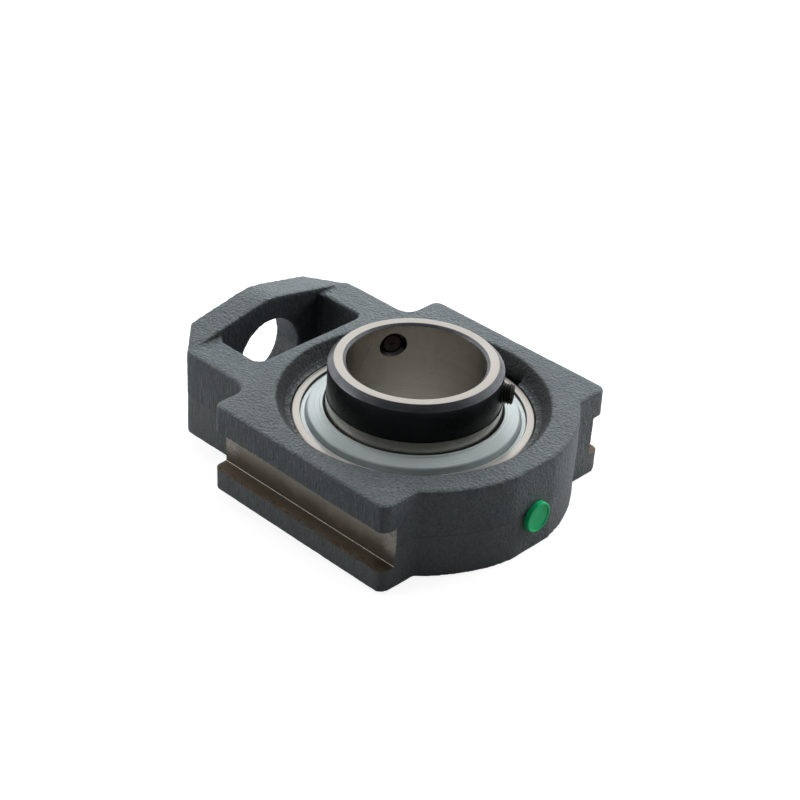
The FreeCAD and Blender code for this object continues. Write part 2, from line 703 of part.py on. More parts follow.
def grease_plug():
    """The push-in plug that closes the grease hole until a nipple goes in."""
    body = new_body("grease_plug")
    face = nose_flat
    front = face + S.plug_head_height
    stem = S.grease_hole_radius - S.plug_gap
    inner = S.plug_head_radius - S.plug_rim
    section = [(face - S.plug_stem_length, S.plug_core_radius), (face - S.plug_stem_length, stem)]
    section += [(face, stem), (face, S.plug_head_radius), (front - S.plug_edge, S.plug_head_radius)]
    section += [(front, S.plug_head_radius - S.plug_edge), (front, inner), (front - S.plug_dish, inner)]
    section += [(front - S.plug_dish, ZERO), (face, ZERO), (face, S.plug_core_radius)]
    turned(body, "Revolution", "plug", outline(new_sketch(body, "section", "XY_Plane"), section), "H_Axis")
    bind(body, "Placement.Base.y", S.grease_side)
    bind(body, "Placement.Base.z", S.grease_height)
    return body


def lower(item):
    flip_over(item)
    return item


parts = [housing(), outer_ring(), inner_ring()] + balls()
parts += [cage_half("cage_upper"), lower(cage_half("cage_lower")), cage_rivets()]
parts += [seal_shield("seal_shield_upper"), seal_lip("seal_lip_upper")]
parts += [lower(seal_shield("seal_shield_lower")), lower(seal_lip("seal_lip_lower"))]
parts += [set_screw("set_screw_1", S.shaft_radius + S.screw_back_1, S.screw_angle + S.screw_spacing)]
parts += [set_screw("set_screw_2", S.shaft_radius + S.screw_back_2, S.screw_angle), grease_plug()]
doc.recompute()

for item in doc.Objects:
    if "Invalid" in item.State or "Error" in item.State:
        raise RuntimeError("%s did not compute: %s" % (item.Label, item.State))
for item in parts:
    if item.Shape.isNull() or not item.Shape.isValid():
        raise RuntimeError("%s has no sound shape" % item.Label)

os.makedirs("parts", exist_ok=True)
for item in parts:
    item.Shape.exportStep("parts/%s.step" % item.Label)
    print(item.Label, len(item.Shape.Solids), round(item.Shape.Volume, 3))
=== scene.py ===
import itertools
import math

import bmesh
import bpy
import numpy as np
from mathutils import Euler, Matrix, Vector


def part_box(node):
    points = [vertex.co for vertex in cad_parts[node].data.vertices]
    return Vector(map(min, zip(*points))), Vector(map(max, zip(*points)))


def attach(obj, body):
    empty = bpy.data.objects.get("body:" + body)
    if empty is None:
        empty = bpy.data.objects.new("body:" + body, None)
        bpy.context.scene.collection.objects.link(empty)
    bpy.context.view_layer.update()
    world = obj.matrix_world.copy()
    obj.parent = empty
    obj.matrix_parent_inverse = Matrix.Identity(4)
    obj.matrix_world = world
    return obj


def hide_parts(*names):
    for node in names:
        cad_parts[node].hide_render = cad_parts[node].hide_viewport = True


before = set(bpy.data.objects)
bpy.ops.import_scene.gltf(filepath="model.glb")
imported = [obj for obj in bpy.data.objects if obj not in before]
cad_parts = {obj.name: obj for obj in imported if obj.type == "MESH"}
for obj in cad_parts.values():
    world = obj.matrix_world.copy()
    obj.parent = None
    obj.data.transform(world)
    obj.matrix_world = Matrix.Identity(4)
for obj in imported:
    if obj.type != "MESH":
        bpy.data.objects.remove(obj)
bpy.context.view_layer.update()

MM = 0.001


# The casting. One piece of grey iron, sand cast with soft wavy edges and sprayed with dark primer,
# then milled along both guide ways and bored to a sphere for the bearing. Its sizes are millimetres
# from the bearing's centre, with X to the nose, Y across the ways and Z up the shaft.

BODY_HALF = 17.5
BODY_BELOW = BODY_HALF + 0.35
NOSE_RADIUS, NOSE_FLAT = 59.5, 58.7
EAR_SIDE = 57.25
EAR_START, EAR_END = -43.1, 42.3
BOSS_SIDE, BOSS_END = 41.4, 89.0
BOSS_CORNER = 13.0
WALL_FACE = 76.0
WINDOW = (-WALL_FACE, -53.5, 26.2)
EAVE, RIDGE = 38.2, 24.47
ROOF_PEAK, ROOF_ROUND = 25.05, 30.0
SCREW_WAY, CORE_SHIFT = 14.5, 0.4
RECESS_FOOT, RECESS_BRIM = (45.5, 11.7), (49.1, 17.5)
ROUGH_BORE = 43.0
PARTING = -1.1
WAY_FLOOR = 51.0
WAY_LOW, WAY_HIGH = -9.1, 6.9
# A cutter reaches this far up and down from the middle, and this far past a face.
CLEAR, OVER = 30.0, 3.0


def rounded(corners, step=12):
    """A closed outline from (x, y, radius) corners, each radius turned into short runs."""
    line = []
    count = len(corners)
    for number, (x, y, radius) in enumerate(corners):
        corner = Vector((x, y))
        if radius == 0:
            line.append(corner)
            continue
        before = (Vector(corners[number - 1][:2]) - corner).normalized()
        after = (Vector(corners[(number + 1) % count][:2]) - corner).normalized()
        half = before.angle(after) / 2
        centre = corner + (before + after).normalized() * (radius / math.sin(half))
        first = corner + before * (radius / math.tan(half)) - centre
        last = corner + after * (radius / math.tan(half)) - centre
        turn = first.angle_signed(last)
        pieces = max(2, math.ceil(abs(math.degrees(turn)) / step))
        for part in range(pieces + 1):
            swing = Matrix.Rotation(-turn * part / pieces, 2)
            line.append(centre + swing @ first)
    return line


def circle(radius, step, aside=0.0):
    """A round outline with its points this many degrees apart."""
    turns = np.radians(range(0, 360, step))
    return [(radius * math.cos(turn) + aside, radius * math.sin(turn)) for turn in turns]


def lengthways(x=0.0, y=0.0, z=0.0):
    """Lays a tool that is made along Z along X instead, through this place."""
    return Matrix(((0, 0, 1, x * MM), (1, 0, 0, y * MM), (0, 1, 0, z * MM), (0, 0, 0, 1)))


def plain_piece(name, mesh):
    """Puts a mesh in the scene as a piece."""
    piece = bpy.data.objects.new(name, mesh)
    bpy.context.scene.collection.objects.link(piece)
    return piece


def outward(mesh):
    """Joins doubled points and turns every face to the outside."""
    shell = bmesh.new()
    shell.from_mesh(mesh)
    bmesh.ops.remove_doubles(shell, verts=shell.verts, dist=1e-7)
    bmesh.ops.recalc_face_normals(shell, faces=shell.faces)
    shell.to_mesh(mesh)
    shell.free()


def closed_piece(name, shell, finish):
    """A piece made from a finished shell, in this finish where one is given."""
    mesh = bpy.data.meshes.new(name)
    shell.to_mesh(mesh)
    shell.free()
    outward(mesh)
    if finish:
        mesh.materials.append(finish)
    return plain_piece(name, mesh)


def prism(name, line, low, high, turn=None, finish=None):
    """A closed block with this outline, in millimetres, from one height to the other."""
    shell = bmesh.new()
    rims = [[shell.verts.new((x * MM, y * MM, z * MM)) for x, y in line] for z in (low, high)]
    shell.faces.new(rims[0])
    shell.faces.new(rims[1])
    for here in range(len(line)):
        after = (here + 1) % len(line)
        shell.faces.new((rims[0][here], rims[0][after], rims[1][after], rims[1][here]))
    if turn is not None:
        bmesh.ops.transform(shell, matrix=turn, verts=shell.verts)
    return closed_piece(name, shell, finish)


def turned_tool(name, line, finish=None, steps=240):
    """A closed cutter turned round the shaft from (radius, height) points in millimetres."""
    shell = bmesh.new()
    turns = [(math.cos(a), math.sin(a)) for a in np.linspace(0, 2 * math.pi, steps, endpoint=False)]
    rings = [[shell.verts.new((r * c * MM, r * s * MM, z * MM)) for c, s in turns] for r, z in line]
    for low, high in zip(rings, rings[1:]):
        for here in range(steps):
            after = (here + 1) % steps
            shell.faces.new((low[here], low[after], high[after], high[here])).smooth = True
    shell.faces.new(rings[0])
    shell.faces.new(rings[-1])
    return closed_piece(name, shell, finish)


def settled(piece):
    """Turns what the piece's modifiers make into its plain mesh."""
    solid = piece.evaluated_get(bpy.context.evaluated_depsgraph_get())
    mesh = bpy.data.meshes.new_from_object(solid)
    piece.modifiers.clear()
    piece.data = mesh
    return piece


def work(piece, tool, operation="DIFFERENCE", solver="MANIFOLD"):
    """Cuts the tool out of the piece, or joins it on; a cut face keeps the tool's finish."""
    modifier = piece.modifiers.new("work", "BOOLEAN")
    modifier.object = tool
    modifier.operation = operation
    modifier.solver = solver
    modifier.material_mode = "TRANSFER"
    settled(piece)
    bpy.data.objects.remove(tool)
    return piece


def add(tree, kind, inputs=(), output=0, **settings):
    """A node in a tree: a socket given as another node's output is linked, the rest are set."""
    node = tree.nodes.new(kind)
    for key, value in settings.items():
        setattr(node, key, value)
    for key, value in dict(inputs).items():
        if isinstance(value, bpy.types.NodeSocket):
            tree.links.new(value, node.inputs[key])
        else:
            node.inputs[key].default_value = value
    return node.outputs[output]


def reckon(tree, operation, first, second=0.0):
    """One step of arithmetic on two values."""
    return add(tree, "ShaderNodeMath", {0: first, 1: second}, operation=operation)


def ramp_of(tree, value, low, high, start=0.0, end=1.0):
    """A soft step: start below low, end past high; low may be the larger of the two."""
    inputs = {"Value": value, "From Min": low, "From Max": high, "To Min": start, "To Max": end}
    return add(tree, "ShaderNodeMapRange", inputs, interpolation_type="SMOOTHSTEP")


SOCKETS = {int: "NodeSocketInt", float: "NodeSocketFloat", bpy.types.Material: "NodeSocketMaterial"}


def new_rule(name, sizes):
    """An empty geometry tree with one named input for each size, and its first and last nodes."""
    tree = bpy.data.node_groups.new(name, "GeometryNodeTree")
    tree.interface.new_socket("Geometry", in_out="INPUT", socket_type="NodeSocketGeometry")
    for label, value in sizes.items():
        tree.interface.new_socket(label, in_out="INPUT", socket_type=SOCKETS[type(value)])
    tree.interface.new_socket("Geometry", in_out="OUTPUT", socket_type="NodeSocketGeometry")
    given, last = tree.nodes.new("NodeGroupInput"), tree.nodes.new("NodeGroupOutput")
    return tree, given.outputs, last.inputs


def end_rule(tree, shape, finish, last):
    """Every tree ends with real geometry in its finish."""
    real = add(tree, "GeometryNodeRealizeInstances", {"Geometry": shape})
    dressed = add(tree, "GeometryNodeSetMaterial", {"Geometry": real, "Material": finish})
    tree.links.new(dressed, last["Geometry"])


def follow_rule(piece, tree, sizes):
    """Runs a geometry tree on a piece with these sizes and keeps the result as its plain mesh."""
    modifier = piece.modifiers.new("rule", "NODES")
    modifier.node_group = tree
    for item in tree.interface.items_tree:
        if item.in_out == "INPUT" and item.name in sizes:
            modifier[item.identifier] = sizes[item.name]
    return settled(piece)


def tone(red, green, blue):
    """A colour as read on a screen, 0 to 255, for a shader."""
    light = [part / 255 for part in (red, green, blue)]
    return tuple(v / 12.92 if v < 0.04045 else ((v + 0.055) / 1.055) ** 2.4 for v in light) + (1.0,)


class Finish:
    """A surface finish made of shader nodes, its pattern fixed in the piece's own metres."""

    def __init__(self, name, **levels):
        self.material = bpy.data.materials.new(name)
        self.material.use_nodes = True
        self.tree = self.material.node_tree
        self.shader = self.tree.nodes["Principled BSDF"]
        self.place = add(self.tree, "ShaderNodeTexCoord", output="Object")
        self.normal = None
        for key, value in levels.items():
            self.shader.inputs[key.replace("_", " ")].default_value = value

    def reckon(self, operation, first, second=0.0):
        """One step of arithmetic in this finish."""
        return reckon(self.tree, operation, first, second)

    def both(self, *shares):
        """The product of shares: only where all of them are."""
        whole = shares[0]
        for share in shares[1:]:
            whole = self.reckon("MULTIPLY", whole, share)
        return whole

    def off(self, value, middle=0.0):
        """How far a measure is from its middle."""
        return self.reckon("ABSOLUTE", self.reckon("SUBTRACT", value, middle))

    def ramp(self, value, low, high, start=0.0, end=1.0):
        """A soft step in this finish."""
        return ramp_of(self.tree, value, low, high, start, end)

    def edge(self, value, low, high):
        """A ramp between two places given in millimetres."""
        return self.ramp(value, low * MM, high * MM)

    def ragged(self, value, noise, depth):
        """A measure that wanders this many millimetres with the noise."""
        return self.reckon("ADD", value, self.both(self.reckon("SUBTRACT", noise, 0.5), depth * MM))

    def axes(self):
        """The place's distance from the bearing's centre along X, Y and Z."""
        return add(self.tree, "ShaderNodeSeparateXYZ", {"Vector": self.place}).node.outputs

    def facing(self):
        """Which way the surface looks, along X, Y and Z."""
        normal = add(self.tree, "ShaderNodeTexCoord", output="Normal")
        return add(self.tree, "ShaderNodeSeparateXYZ", {"Vector": normal}).node.outputs

    def bend(self):
        """Above a half on ridges and below it in hollows."""
        return add(self.tree, "ShaderNodeNewGeometry", output="Pointiness")

    def out(self):
        """How far out from the shaft's line."""
        x, y, z = self.axes()
        return self.reckon("SQRT", self.reckon("ADD", self.both(x, x), self.both(y, y)))

    def stretched(self, across, along, up):
        """The place with its three directions drawn out by these lengths in millimetres."""
        scale = (1 / (across * MM), 1 / (along * MM), 1 / (up * MM))
        return add(self.tree, "ShaderNodeMapping", {"Vector": self.place, "Scale": scale})

    def turned(self, outward_step, round_step, up_step):
        """Like stretched, but out from the shaft, round it and along it, as a lathe leaves its marks."""
        x, y, z = self.axes()
        parts = [self.reckon("DIVIDE", self.out(), outward_step * MM)]
        parts.append(self.reckon("DIVIDE", self.reckon("ARCTAN2", y, x), round_step))
        parts.append(self.reckon("DIVIDE", z, up_step * MM))
        return add(self.tree, "ShaderNodeCombineXYZ", dict(enumerate(parts)))

    def speckle(self, size, detail=2.0, roughness=0.5, place=None):
        """Soft noise with grains of this size in millimetres; a place that is given is in grains."""
        scale = 1 / (size * MM) if place is None else size
        inputs = {"Vector": place or self.place, "Scale": scale, "Detail": detail, "Roughness": roughness}
        return add(self.tree, "ShaderNodeTexNoise", inputs)

    def pits(self, size):
        """How far the nearest pit is, in its own size."""
        inputs = {"Vector": self.place, "Scale": 1 / (size * MM)}
        return add(self.tree, "ShaderNodeTexVoronoi", inputs)

    def between(self, share, first, second):
        """A colour between two, by share."""
        inputs = {0: share, 6: first, 7: second}
        return add(self.tree, "ShaderNodeMix", inputs, output=2, data_type="RGBA")

    def coats(self, colour, *layers):
        """Lays colours over one another, each where its share says."""
        for share, coat in layers:
            colour = self.between(share, colour, coat)
        return colour

    def relief(self, height, depth):
        """Raises the surface by depth millimetres where the height is one."""
        inputs = {"Height": height, "Distance": depth * MM, "Strength": 1.0}
        if self.normal is not None:
            inputs["Normal"] = self.normal
        self.normal = add(self.tree, "ShaderNodeBump", inputs)

    def done(self, colour, roughness):
        """Gives the surface its colour, its gloss and its relief."""
        parts = {"Base Color": colour, "Roughness": roughness, "Normal": self.normal}
        for socket, value in parts.items():
            self.tree.links.new(value, self.shader.inputs[socket])
        return self.material


def primer_paint():
    """Dark blue grey primer over cast iron: sand grain, pits, drag marks down the sides, thin edges, painted
    shade in the recess and window, painted light low on the sides.
    """
    finish = Finish("primer_paint", Metallic=0.0, Specular_IOR_Level=0.5)
    grain = finish.speckle(1.15, detail=2.0, roughness=0.6)
    lumps = finish.speckle(2.6, detail=2.0)
    clouds = finish.speckle(17.0, detail=2.0)
    drag = finish.speckle(1.0, detail=3.0, roughness=0.6, place=finish.stretched(0.36, 0.36, 6.0))
    strewn = finish.ramp(finish.speckle(3.1, detail=1.0), 0.5, 0.6)
    pit = finish.both(finish.ramp(finish.pits(1.5), 0.26, 0.08), strewn)
    x, y, z = finish.axes()
    out, aside, level = finish.out(), finish.off(y), finish.off(z)
    facing = finish.facing()
    upright = finish.ramp(finish.off(facing[2]), 0.6, 0.3)
    side = finish.ramp(finish.off(facing[1]), 0.7, 0.9)
    # Painted light: upright faces below the parting line are a little paler, standing in for light thrown up
    # from the table.
    below = finish.edge(z, PARTING + 0.1, PARTING - 0.1)
    seam = finish.both(upright, finish.edge(finish.off(z, PARTING * MM), 0.35, 0.05))
    foot, foot_level = RECESS_FOOT
    brim, brim_level = RECESS_BRIM
    # Painted shade: the recess round the bearing is darkened nearly to black, as it lies in shade.
    deep = finish.edge(level, brim_level - 0.05, brim_level - 0.7)
    deep = finish.both(finish.edge(out, brim + 0.9, brim + 0.1), deep)
    lead = finish.edge(level, foot_level + 1.3, foot_level + 0.5)
    lead = finish.both(finish.edge(out, foot + 0.9, foot + 0.3), lead)
    start, end, half = WINDOW
    # Painted shade: the window's inside walls and the end wall's face above it are darkened nearly to black.
    within = finish.both(finish.edge(aside, half + 0.3, half - 0.6), upright)
    shaded = finish.reckon("MAXIMUM", within, finish.edge(z, BODY_HALF + 0.1, BODY_HALF + 0.9))
    window_shade = finish.both(finish.edge(x, start - 0.8, start + 0.2), finish.edge(x, end + 0.3, end - 0.6), shaded)
    brink = finish.edge(finish.off(z, WAY_LOW * MM), 1.3, 0.0)
    brink = finish.both(brink, finish.edge(aside, EAR_SIDE - 4.25, EAR_SIDE - 0.75))
    brink = finish.both(brink, finish.ramp(grain, 0.44, 0.56))
    colour = finish.coats(
        finish.between(finish.ramp(clouds, 0.35, 0.65), tone(88, 96, 100), tone(94, 102, 105)),
        (finish.ramp(grain, 0.48, 0.7, 0.0, 0.45), tone(124, 130, 132)),
        (finish.ramp(grain, 0.46, 0.3, 0.0, 0.5), tone(58, 65, 69)),
        (finish.ramp(lumps, 0.5, 0.75, 0.0, 0.3), tone(74, 82, 87)),
        (finish.both(side, finish.ramp(drag, 0.4, 0.62, 0.0, 0.75)), tone(60, 67, 70)),
        # painted light from the table on the lower half of upright faces
        (finish.both(upright, below, 0.3), tone(116, 120, 120)),
        # painted shade in the recess round the bearing
        (finish.both(deep, finish.ramp(grain, 0.3, 0.7, 1.0, 0.82)), tone(18, 21, 23)),
        (finish.both(lead, finish.ramp(grain, 0.35, 0.6, 0.3, 0.8)), tone(76, 82, 84)),
        # painted shade inside the window
        (finish.both(window_shade, 0.93), tone(20, 23, 25)),
        (finish.both(pit, 0.6), tone(50, 55, 58)),
        (finish.both(seam, 0.5), tone(62, 68, 72)),
        (finish.ramp(finish.bend(), 0.515, 0.57, 0.0, 0.4), tone(132, 138, 140)),
        (finish.both(brink, 0.7), tone(104, 84, 64)))
    finish.relief(lumps, 0.25)
    finish.relief(finish.both(grain, finish.ramp(upright, 0.0, 1.0, 1.0, 0.45)), 0.95)
    finish.relief(finish.both(side, drag), 0.26)
    finish.relief(finish.both(pit, -1.0), 0.14)
    finish.relief(seam, 0.12)
    return finish.done(colour, finish.ramp(grain, 0.3, 0.7, 0.40, 0.58))


def milled_iron():
    """Milled iron under old oil: cutter marks, rusty outer edges, oil stain and painted shade low, painted
    light high.
    """
    finish = Finish("milled_iron", Metallic=0.3, Specular_IOR_Level=0.5)
    marks = finish.speckle(1.0, detail=3.0, place=finish.stretched(9.0, 0.3, 0.3))
    stains = finish.speckle(6.0, detail=3.0, roughness=0.55)
    crumbs = finish.speckle(0.9, detail=3.0, roughness=0.7)
    flecks = finish.ramp(finish.speckle(1.2, detail=4.0, roughness=0.7), 0.42, 0.55)
    patches = finish.ramp(finish.speckle(3.4, detail=2.0), 0.42, 0.58)
    x, y, z = finish.axes()
    # Darker brown towards the foot of the way: partly oil stain, partly painted shade where the lower flange
    # keeps light off the floor.
    low = finish.edge(finish.ragged(z, stains, 8), WAY_HIGH - 2.9, WAY_LOW + 2.6)
    # Paler towards the top of the way: partly bright grain, partly painted light reflected up from the table.
    upper = finish.edge(finish.ragged(z, crumbs, 8), WAY_HIGH - 4.4, WAY_HIGH - 0.9)
    shelf = finish.ramp(finish.facing()[2], 0.7, 0.9)
    ends = finish.edge(finish.ragged(finish.off(x), crumbs, 8), EAR_END - 7.3, EAR_END - 2.3)
    ends = finish.both(ends, finish.edge(z, WAY_LOW + 2.1, WAY_LOW + 8.1))
    rusty = finish.both(finish.edge(finish.off(y), EAR_SIDE - 3.85, EAR_SIDE - 0.45), flecks)
    colour = finish.coats(
        finish.between(finish.ramp(stains, 0.35, 0.7), tone(176, 172, 160), tone(160, 154, 140)),
        (finish.ramp(marks, 0.35, 0.75, 0.0, 0.5), tone(192, 187, 175)),
        # oil stain and painted shade towards the foot
        (finish.both(low, 0.92), tone(88, 78, 67)),
        (finish.both(shelf, finish.ramp(marks, 0.3, 0.7, 0.95, 0.6)), tone(138, 126, 110)),
        (finish.both(shelf, finish.edge(x, EAR_END - 10.3, EAR_END - 4.3), 0.9), tone(84, 73, 62)),
        # bright grain and painted light near the top of the way
        (finish.both(upper, 0.6), tone(190, 184, 172)),
        (finish.both(ends, 0.85), tone(186, 182, 174)),
        (finish.both(ends, finish.ramp(crumbs, 0.5, 0.36, 0.0, 0.6)), tone(84, 80, 74)),
        (finish.both(rusty, finish.ramp(patches, 0.0, 1.0, 0.25, 0.85)),
         finish.between(patches, tone(164, 148, 128), tone(118, 88, 60))))
    finish.relief(marks, 0.03)
    finish.relief(finish.both(ends, crumbs), 0.3)
    finish.relief(rusty, 0.15)
    return finish.done(colour, finish.ramp(stains, 0.3, 0.7, 0.40, 0.55))


def cut_corner():
    """The bright line where the cutter's corner ran along the foot of each way."""
    finish = Finish("cut_corner", Metallic=0.3)
    marks = finish.speckle(1.0, detail=2.0, place=finish.stretched(5.0, 0.2, 0.2))
    colour = finish.between(finish.ramp(marks, 0.3, 0.7), tone(196, 191, 182), tone(220, 216, 208))
    finish.relief(marks, 0.01)
    return finish.done(colour, finish.ramp(marks, 0.3, 0.7, 0.45, 0.55))


primer, milled, bright = primer_paint(), milled_iron(), cut_corner()


def cast_shape():
    """The casting before its skin: body with ears and nose, end wall, window and screw way."""
    at_ear, at_flat = math.acos(EAR_END / NOSE_RADIUS), math.acos(NOSE_FLAT / NOSE_RADIUS)
    near = [(-BOSS_END, BOSS_CORNER - BOSS_SIDE, 0), (-WALL_FACE, -BOSS_SIDE, 0)]
    near += [(EAR_START, -BOSS_SIDE, 5.0), (EAR_START, -EAR_SIDE, 3.0), (EAR_END, -EAR_SIDE, 3.5)]
    for swing in np.linspace(at_ear, at_flat, 13):
        near.append((NOSE_RADIUS * math.cos(swing), -NOSE_RADIUS * math.sin(swing), 0))
    plan = rounded(near + [(x, -y, radius) for x, y, radius in reversed(near)])
    body = prism("casting", plan, -BODY_BELOW, BODY_HALF)
    roof = [(-EAVE, BODY_HALF, 0), (-EAVE, -BODY_HALF, 0), (0, -ROOF_PEAK, ROOF_ROUND)]
    roof += [(EAVE, -BODY_HALF, 0), (EAVE, BODY_HALF, 0), (0, ROOF_PEAK, ROOF_ROUND)]
    wall = prism("wall", rounded(roof, 5), -BOSS_END, -WALL_FACE, lengthways())
    for hand in (1, -1):
        side, end = hand * (BOSS_SIDE + OVER), -BOSS_END - OVER
        tip = [(end, side), (end, side - hand * (BOSS_CORNER + 2 * OVER)), (-WALL_FACE + OVER, side)]
        work(wall, prism("corner", tip, -CLEAR, CLEAR), solver="EXACT")
    work(body, wall, "UNION", solver="EXACT")
    start, end, half = WINDOW
    frame_line = rounded([(start, -half, 4), (end, -half, 4), (end, half, 3), (start, half, 3)])
    work(body, prism("window", frame_line, -CLEAR, CLEAR), solver="EXACT")
    core = circle(SCREW_WAY, 4, CORE_SHIFT)
    core = prism("screw_way", core, -BOSS_END - OVER, -WALL_FACE + OVER, lengthways())
    work(body, core, solver="EXACT")
    work(body, turned_tool("bore", [(ROUGH_BORE, -CLEAR), (ROUGH_BORE, CLEAR)]), solver="EXACT")
    for hand in (1, -1):
        recess = [RECESS_FOOT, RECESS_BRIM, (RECESS_BRIM[0], CLEAR)]
        recess = [(radius, hand * height) for radius, height in recess]
        work(body, turned_tool("recess", recess[::hand]), solver="EXACT")
    return body


def chip_rule(sizes):
    """Small broken bites strewn along the lines it is given, some places missed."""
    tree, given, last = new_rule("edge_chips", sizes)

    def draw(limits, kind="FLOAT_VECTOR", output=0):
        """A random value for each bite."""
        inputs = dict(limits, Seed=given["Seed"])
        return add(tree, "FunctionNodeRandomValue", inputs, output, data_type=kind)

    line = add(tree, "GeometryNodeMeshToCurve", {"Mesh": given["Geometry"]})
    spots = {"Curve": line, "Length": given["Spacing"]}
    spots = add(tree, "GeometryNodeResampleCurve", spots, mode="LENGTH")
    least = add(tree, "ShaderNodeCombineXYZ", {axis: given["Least"] for axis in "XYZ"})
    most = add(tree, "ShaderNodeCombineXYZ", {axis: given["Most"] for axis in "XYZ"})
    chosen = draw({"Probability": given["Share"]}, "BOOLEAN", 3)
    ball = add(tree, "GeometryNodeMeshIcoSphere", {"Radius": 1.0, "Subdivisions": 2})
    bites = {"Points": spots, "Selection": chosen, "Instance": ball}
    bites.update({"Rotation": draw({"Max": (6.3, 6.3, 6.3)}), "Scale": draw({"Min": least, "Max": most})})
    bites = add(tree, "GeometryNodeInstanceOnPoints", bites)
    real = add(tree, "GeometryNodeRealizeInstances", {"Geometry": bites})
    place = add(tree, "GeometryNodeInputPosition")
    noise = {"Vector": place, "Scale": given["Grains"], "Detail": 1.0}
    noise = add(tree, "ShaderNodeTexNoise", noise, "Color")
    shift = add(tree, "ShaderNodeVectorMath", {0: noise, 1: (-0.5, -0.5, -0.5)}, operation="ADD")
    shift = {0: shift, "Scale": given["Most"]}
    shift = add(tree, "ShaderNodeVectorMath", shift, operation="SCALE")
    shape = add(tree, "GeometryNodeSetPosition", {"Geometry": real, "Offset": shift})
    end_rule(tree, shape, given["Finish"], last)
    return tree


def skin_rule(sizes):
    """Sand casting's skin: edges worn round, slow waves and a rough grain, all into the metal."""
    tree, given, last = new_rule("cast_skin", sizes)
    place = add(tree, "GeometryNodeInputPosition")
    x, y, z = add(tree, "ShaderNodeSeparateXYZ", {"Vector": place}).node.outputs
    past = reckon(tree, "LESS_THAN", x, given["Crisp end"])
    wear = reckon(tree, "SUBTRACT", given["Wear"], reckon(tree, "MULTIPLY", past, given["Less wear"]))
    soft = {"Value": place, "Iterations": given["Rounding"], "Weight": wear}
    soft = add(tree, "GeometryNodeBlurAttribute", soft, data_type="FLOAT_VECTOR")
    shape = add(tree, "GeometryNodeSetPosition", {"Geometry": given["Geometry"], "Position": soft})
    depth = 0.0
    for layer in ("Wave", "Lump", "Grain"):
        scale = reckon(tree, "DIVIDE", 1.0, given[layer + " size"])
        noise = {"Vector": place, "W": given["Seed"], "Scale": scale, "Detail": 2.0}
        noise = add(tree, "ShaderNodeTexNoise", noise, noise_dimensions="4D")
        below = reckon(tree, "SUBTRACT", noise, given["Even level"])
        depth = reckon(tree, "ADD", depth, reckon(tree, "MULTIPLY", below, given[layer + " depth"]))
    normal = add(tree, "GeometryNodeInputNormal")
    tilt = add(tree, "ShaderNodeSeparateXYZ", {"Vector": normal}, output="Z")
    upright = reckon(tree, "LESS_THAN", reckon(tree, "ABSOLUTE", tilt), 0.5)
    lower = reckon(tree, "MULTIPLY", upright, reckon(tree, "LESS_THAN", z, given["Parting"]))
    depth = reckon(tree, "SUBTRACT", depth, reckon(tree, "MULTIPLY", lower, given["Mould step"]))
    move = add(tree, "ShaderNodeVectorMath", {0: normal, "Scale": depth}, operation="SCALE")
    shape = add(tree, "GeometryNodeSetPosition", {"Geometry": shape, "Offset": move})
    end_rule(tree, add(tree, "GeometryNodeSetShadeSmooth", {"Geometry": shape}), given["Finish"], last)
    return tree


GRID = 0.74
SKIN = {"Rounding": 3, "Wear": 0.6, "Crisp end": -52 * MM, "Less wear": 0.1, "Even level": 0.62,
        "Wave size": 16 * MM, "Wave depth": 0.45 * MM, "Lump size": 4 * MM, "Lump depth": 0.22 * MM,
        "Grain size": 1.5 * MM, "Grain depth": 0.1 * MM, "Parting": PARTING * MM,
        "Mould step": 0.1 * MM, "Seed": 4.0, "Finish": primer}

casting = cast_shape()
casting.data.materials.clear()
even_grid = casting.modifiers.new("even_grid", "REMESH")
even_grid.mode = "VOXEL"
even_grid.voxel_size = GRID * MM
settled(casting)
follow_rule(casting, skin_rule(SKIN), SKIN)
box_low, box_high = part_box("housing")
for corner in casting.data.vertices:
    corner.co = [min(max(here, low), high) for here, low, high in zip(corner.co, box_low, box_high)]

WAY_BEVEL = 0.16
CUTTER_RUN = 70.0


def way_cutter(hand):
    """What the milling cutter takes out along one guide way, bevelled where its corners ran."""
    floor, rim, past = hand * WAY_FLOOR, hand * (WAY_FLOOR + WAY_BEVEL), hand * CUTTER_RUN
    line = [(floor, WAY_LOW + WAY_BEVEL), (rim, WAY_LOW), (past, WAY_LOW)]
    line += [(past, WAY_HIGH), (rim, WAY_HIGH), (floor, WAY_HIGH - WAY_BEVEL)]
    cutter = prism("way", line, -CUTTER_RUN, CUTTER_RUN, lengthways(), milled)
    cutter.data.materials.append(bright)
    for face in cutter.data.polygons:
        face.material_index = 0.6 < abs(face.normal.z) < 0.8
    return cutter


for hand in (1, -1):
    work(casting, way_cutter(hand))

# The seat for the bearing, its lead in, the two slots the ring goes in by, and the grease way.
LEAD_RADIUS, LEAD_FOOT = 45.55, 11.72
THROAT = (44.0, 11.0)
SEAT_RADIUS, SEAT_MOUTH, SEAT_CORE = 45.08, 10.8, 40.0
SLOT_SIDE, SLOT_REACH = 13.0, 46.3
GREASE_WAY, GREASE_FROM = 3.0, 40.0
GREASE_SIDE, GREASE_RISE = 0.8, -3.5

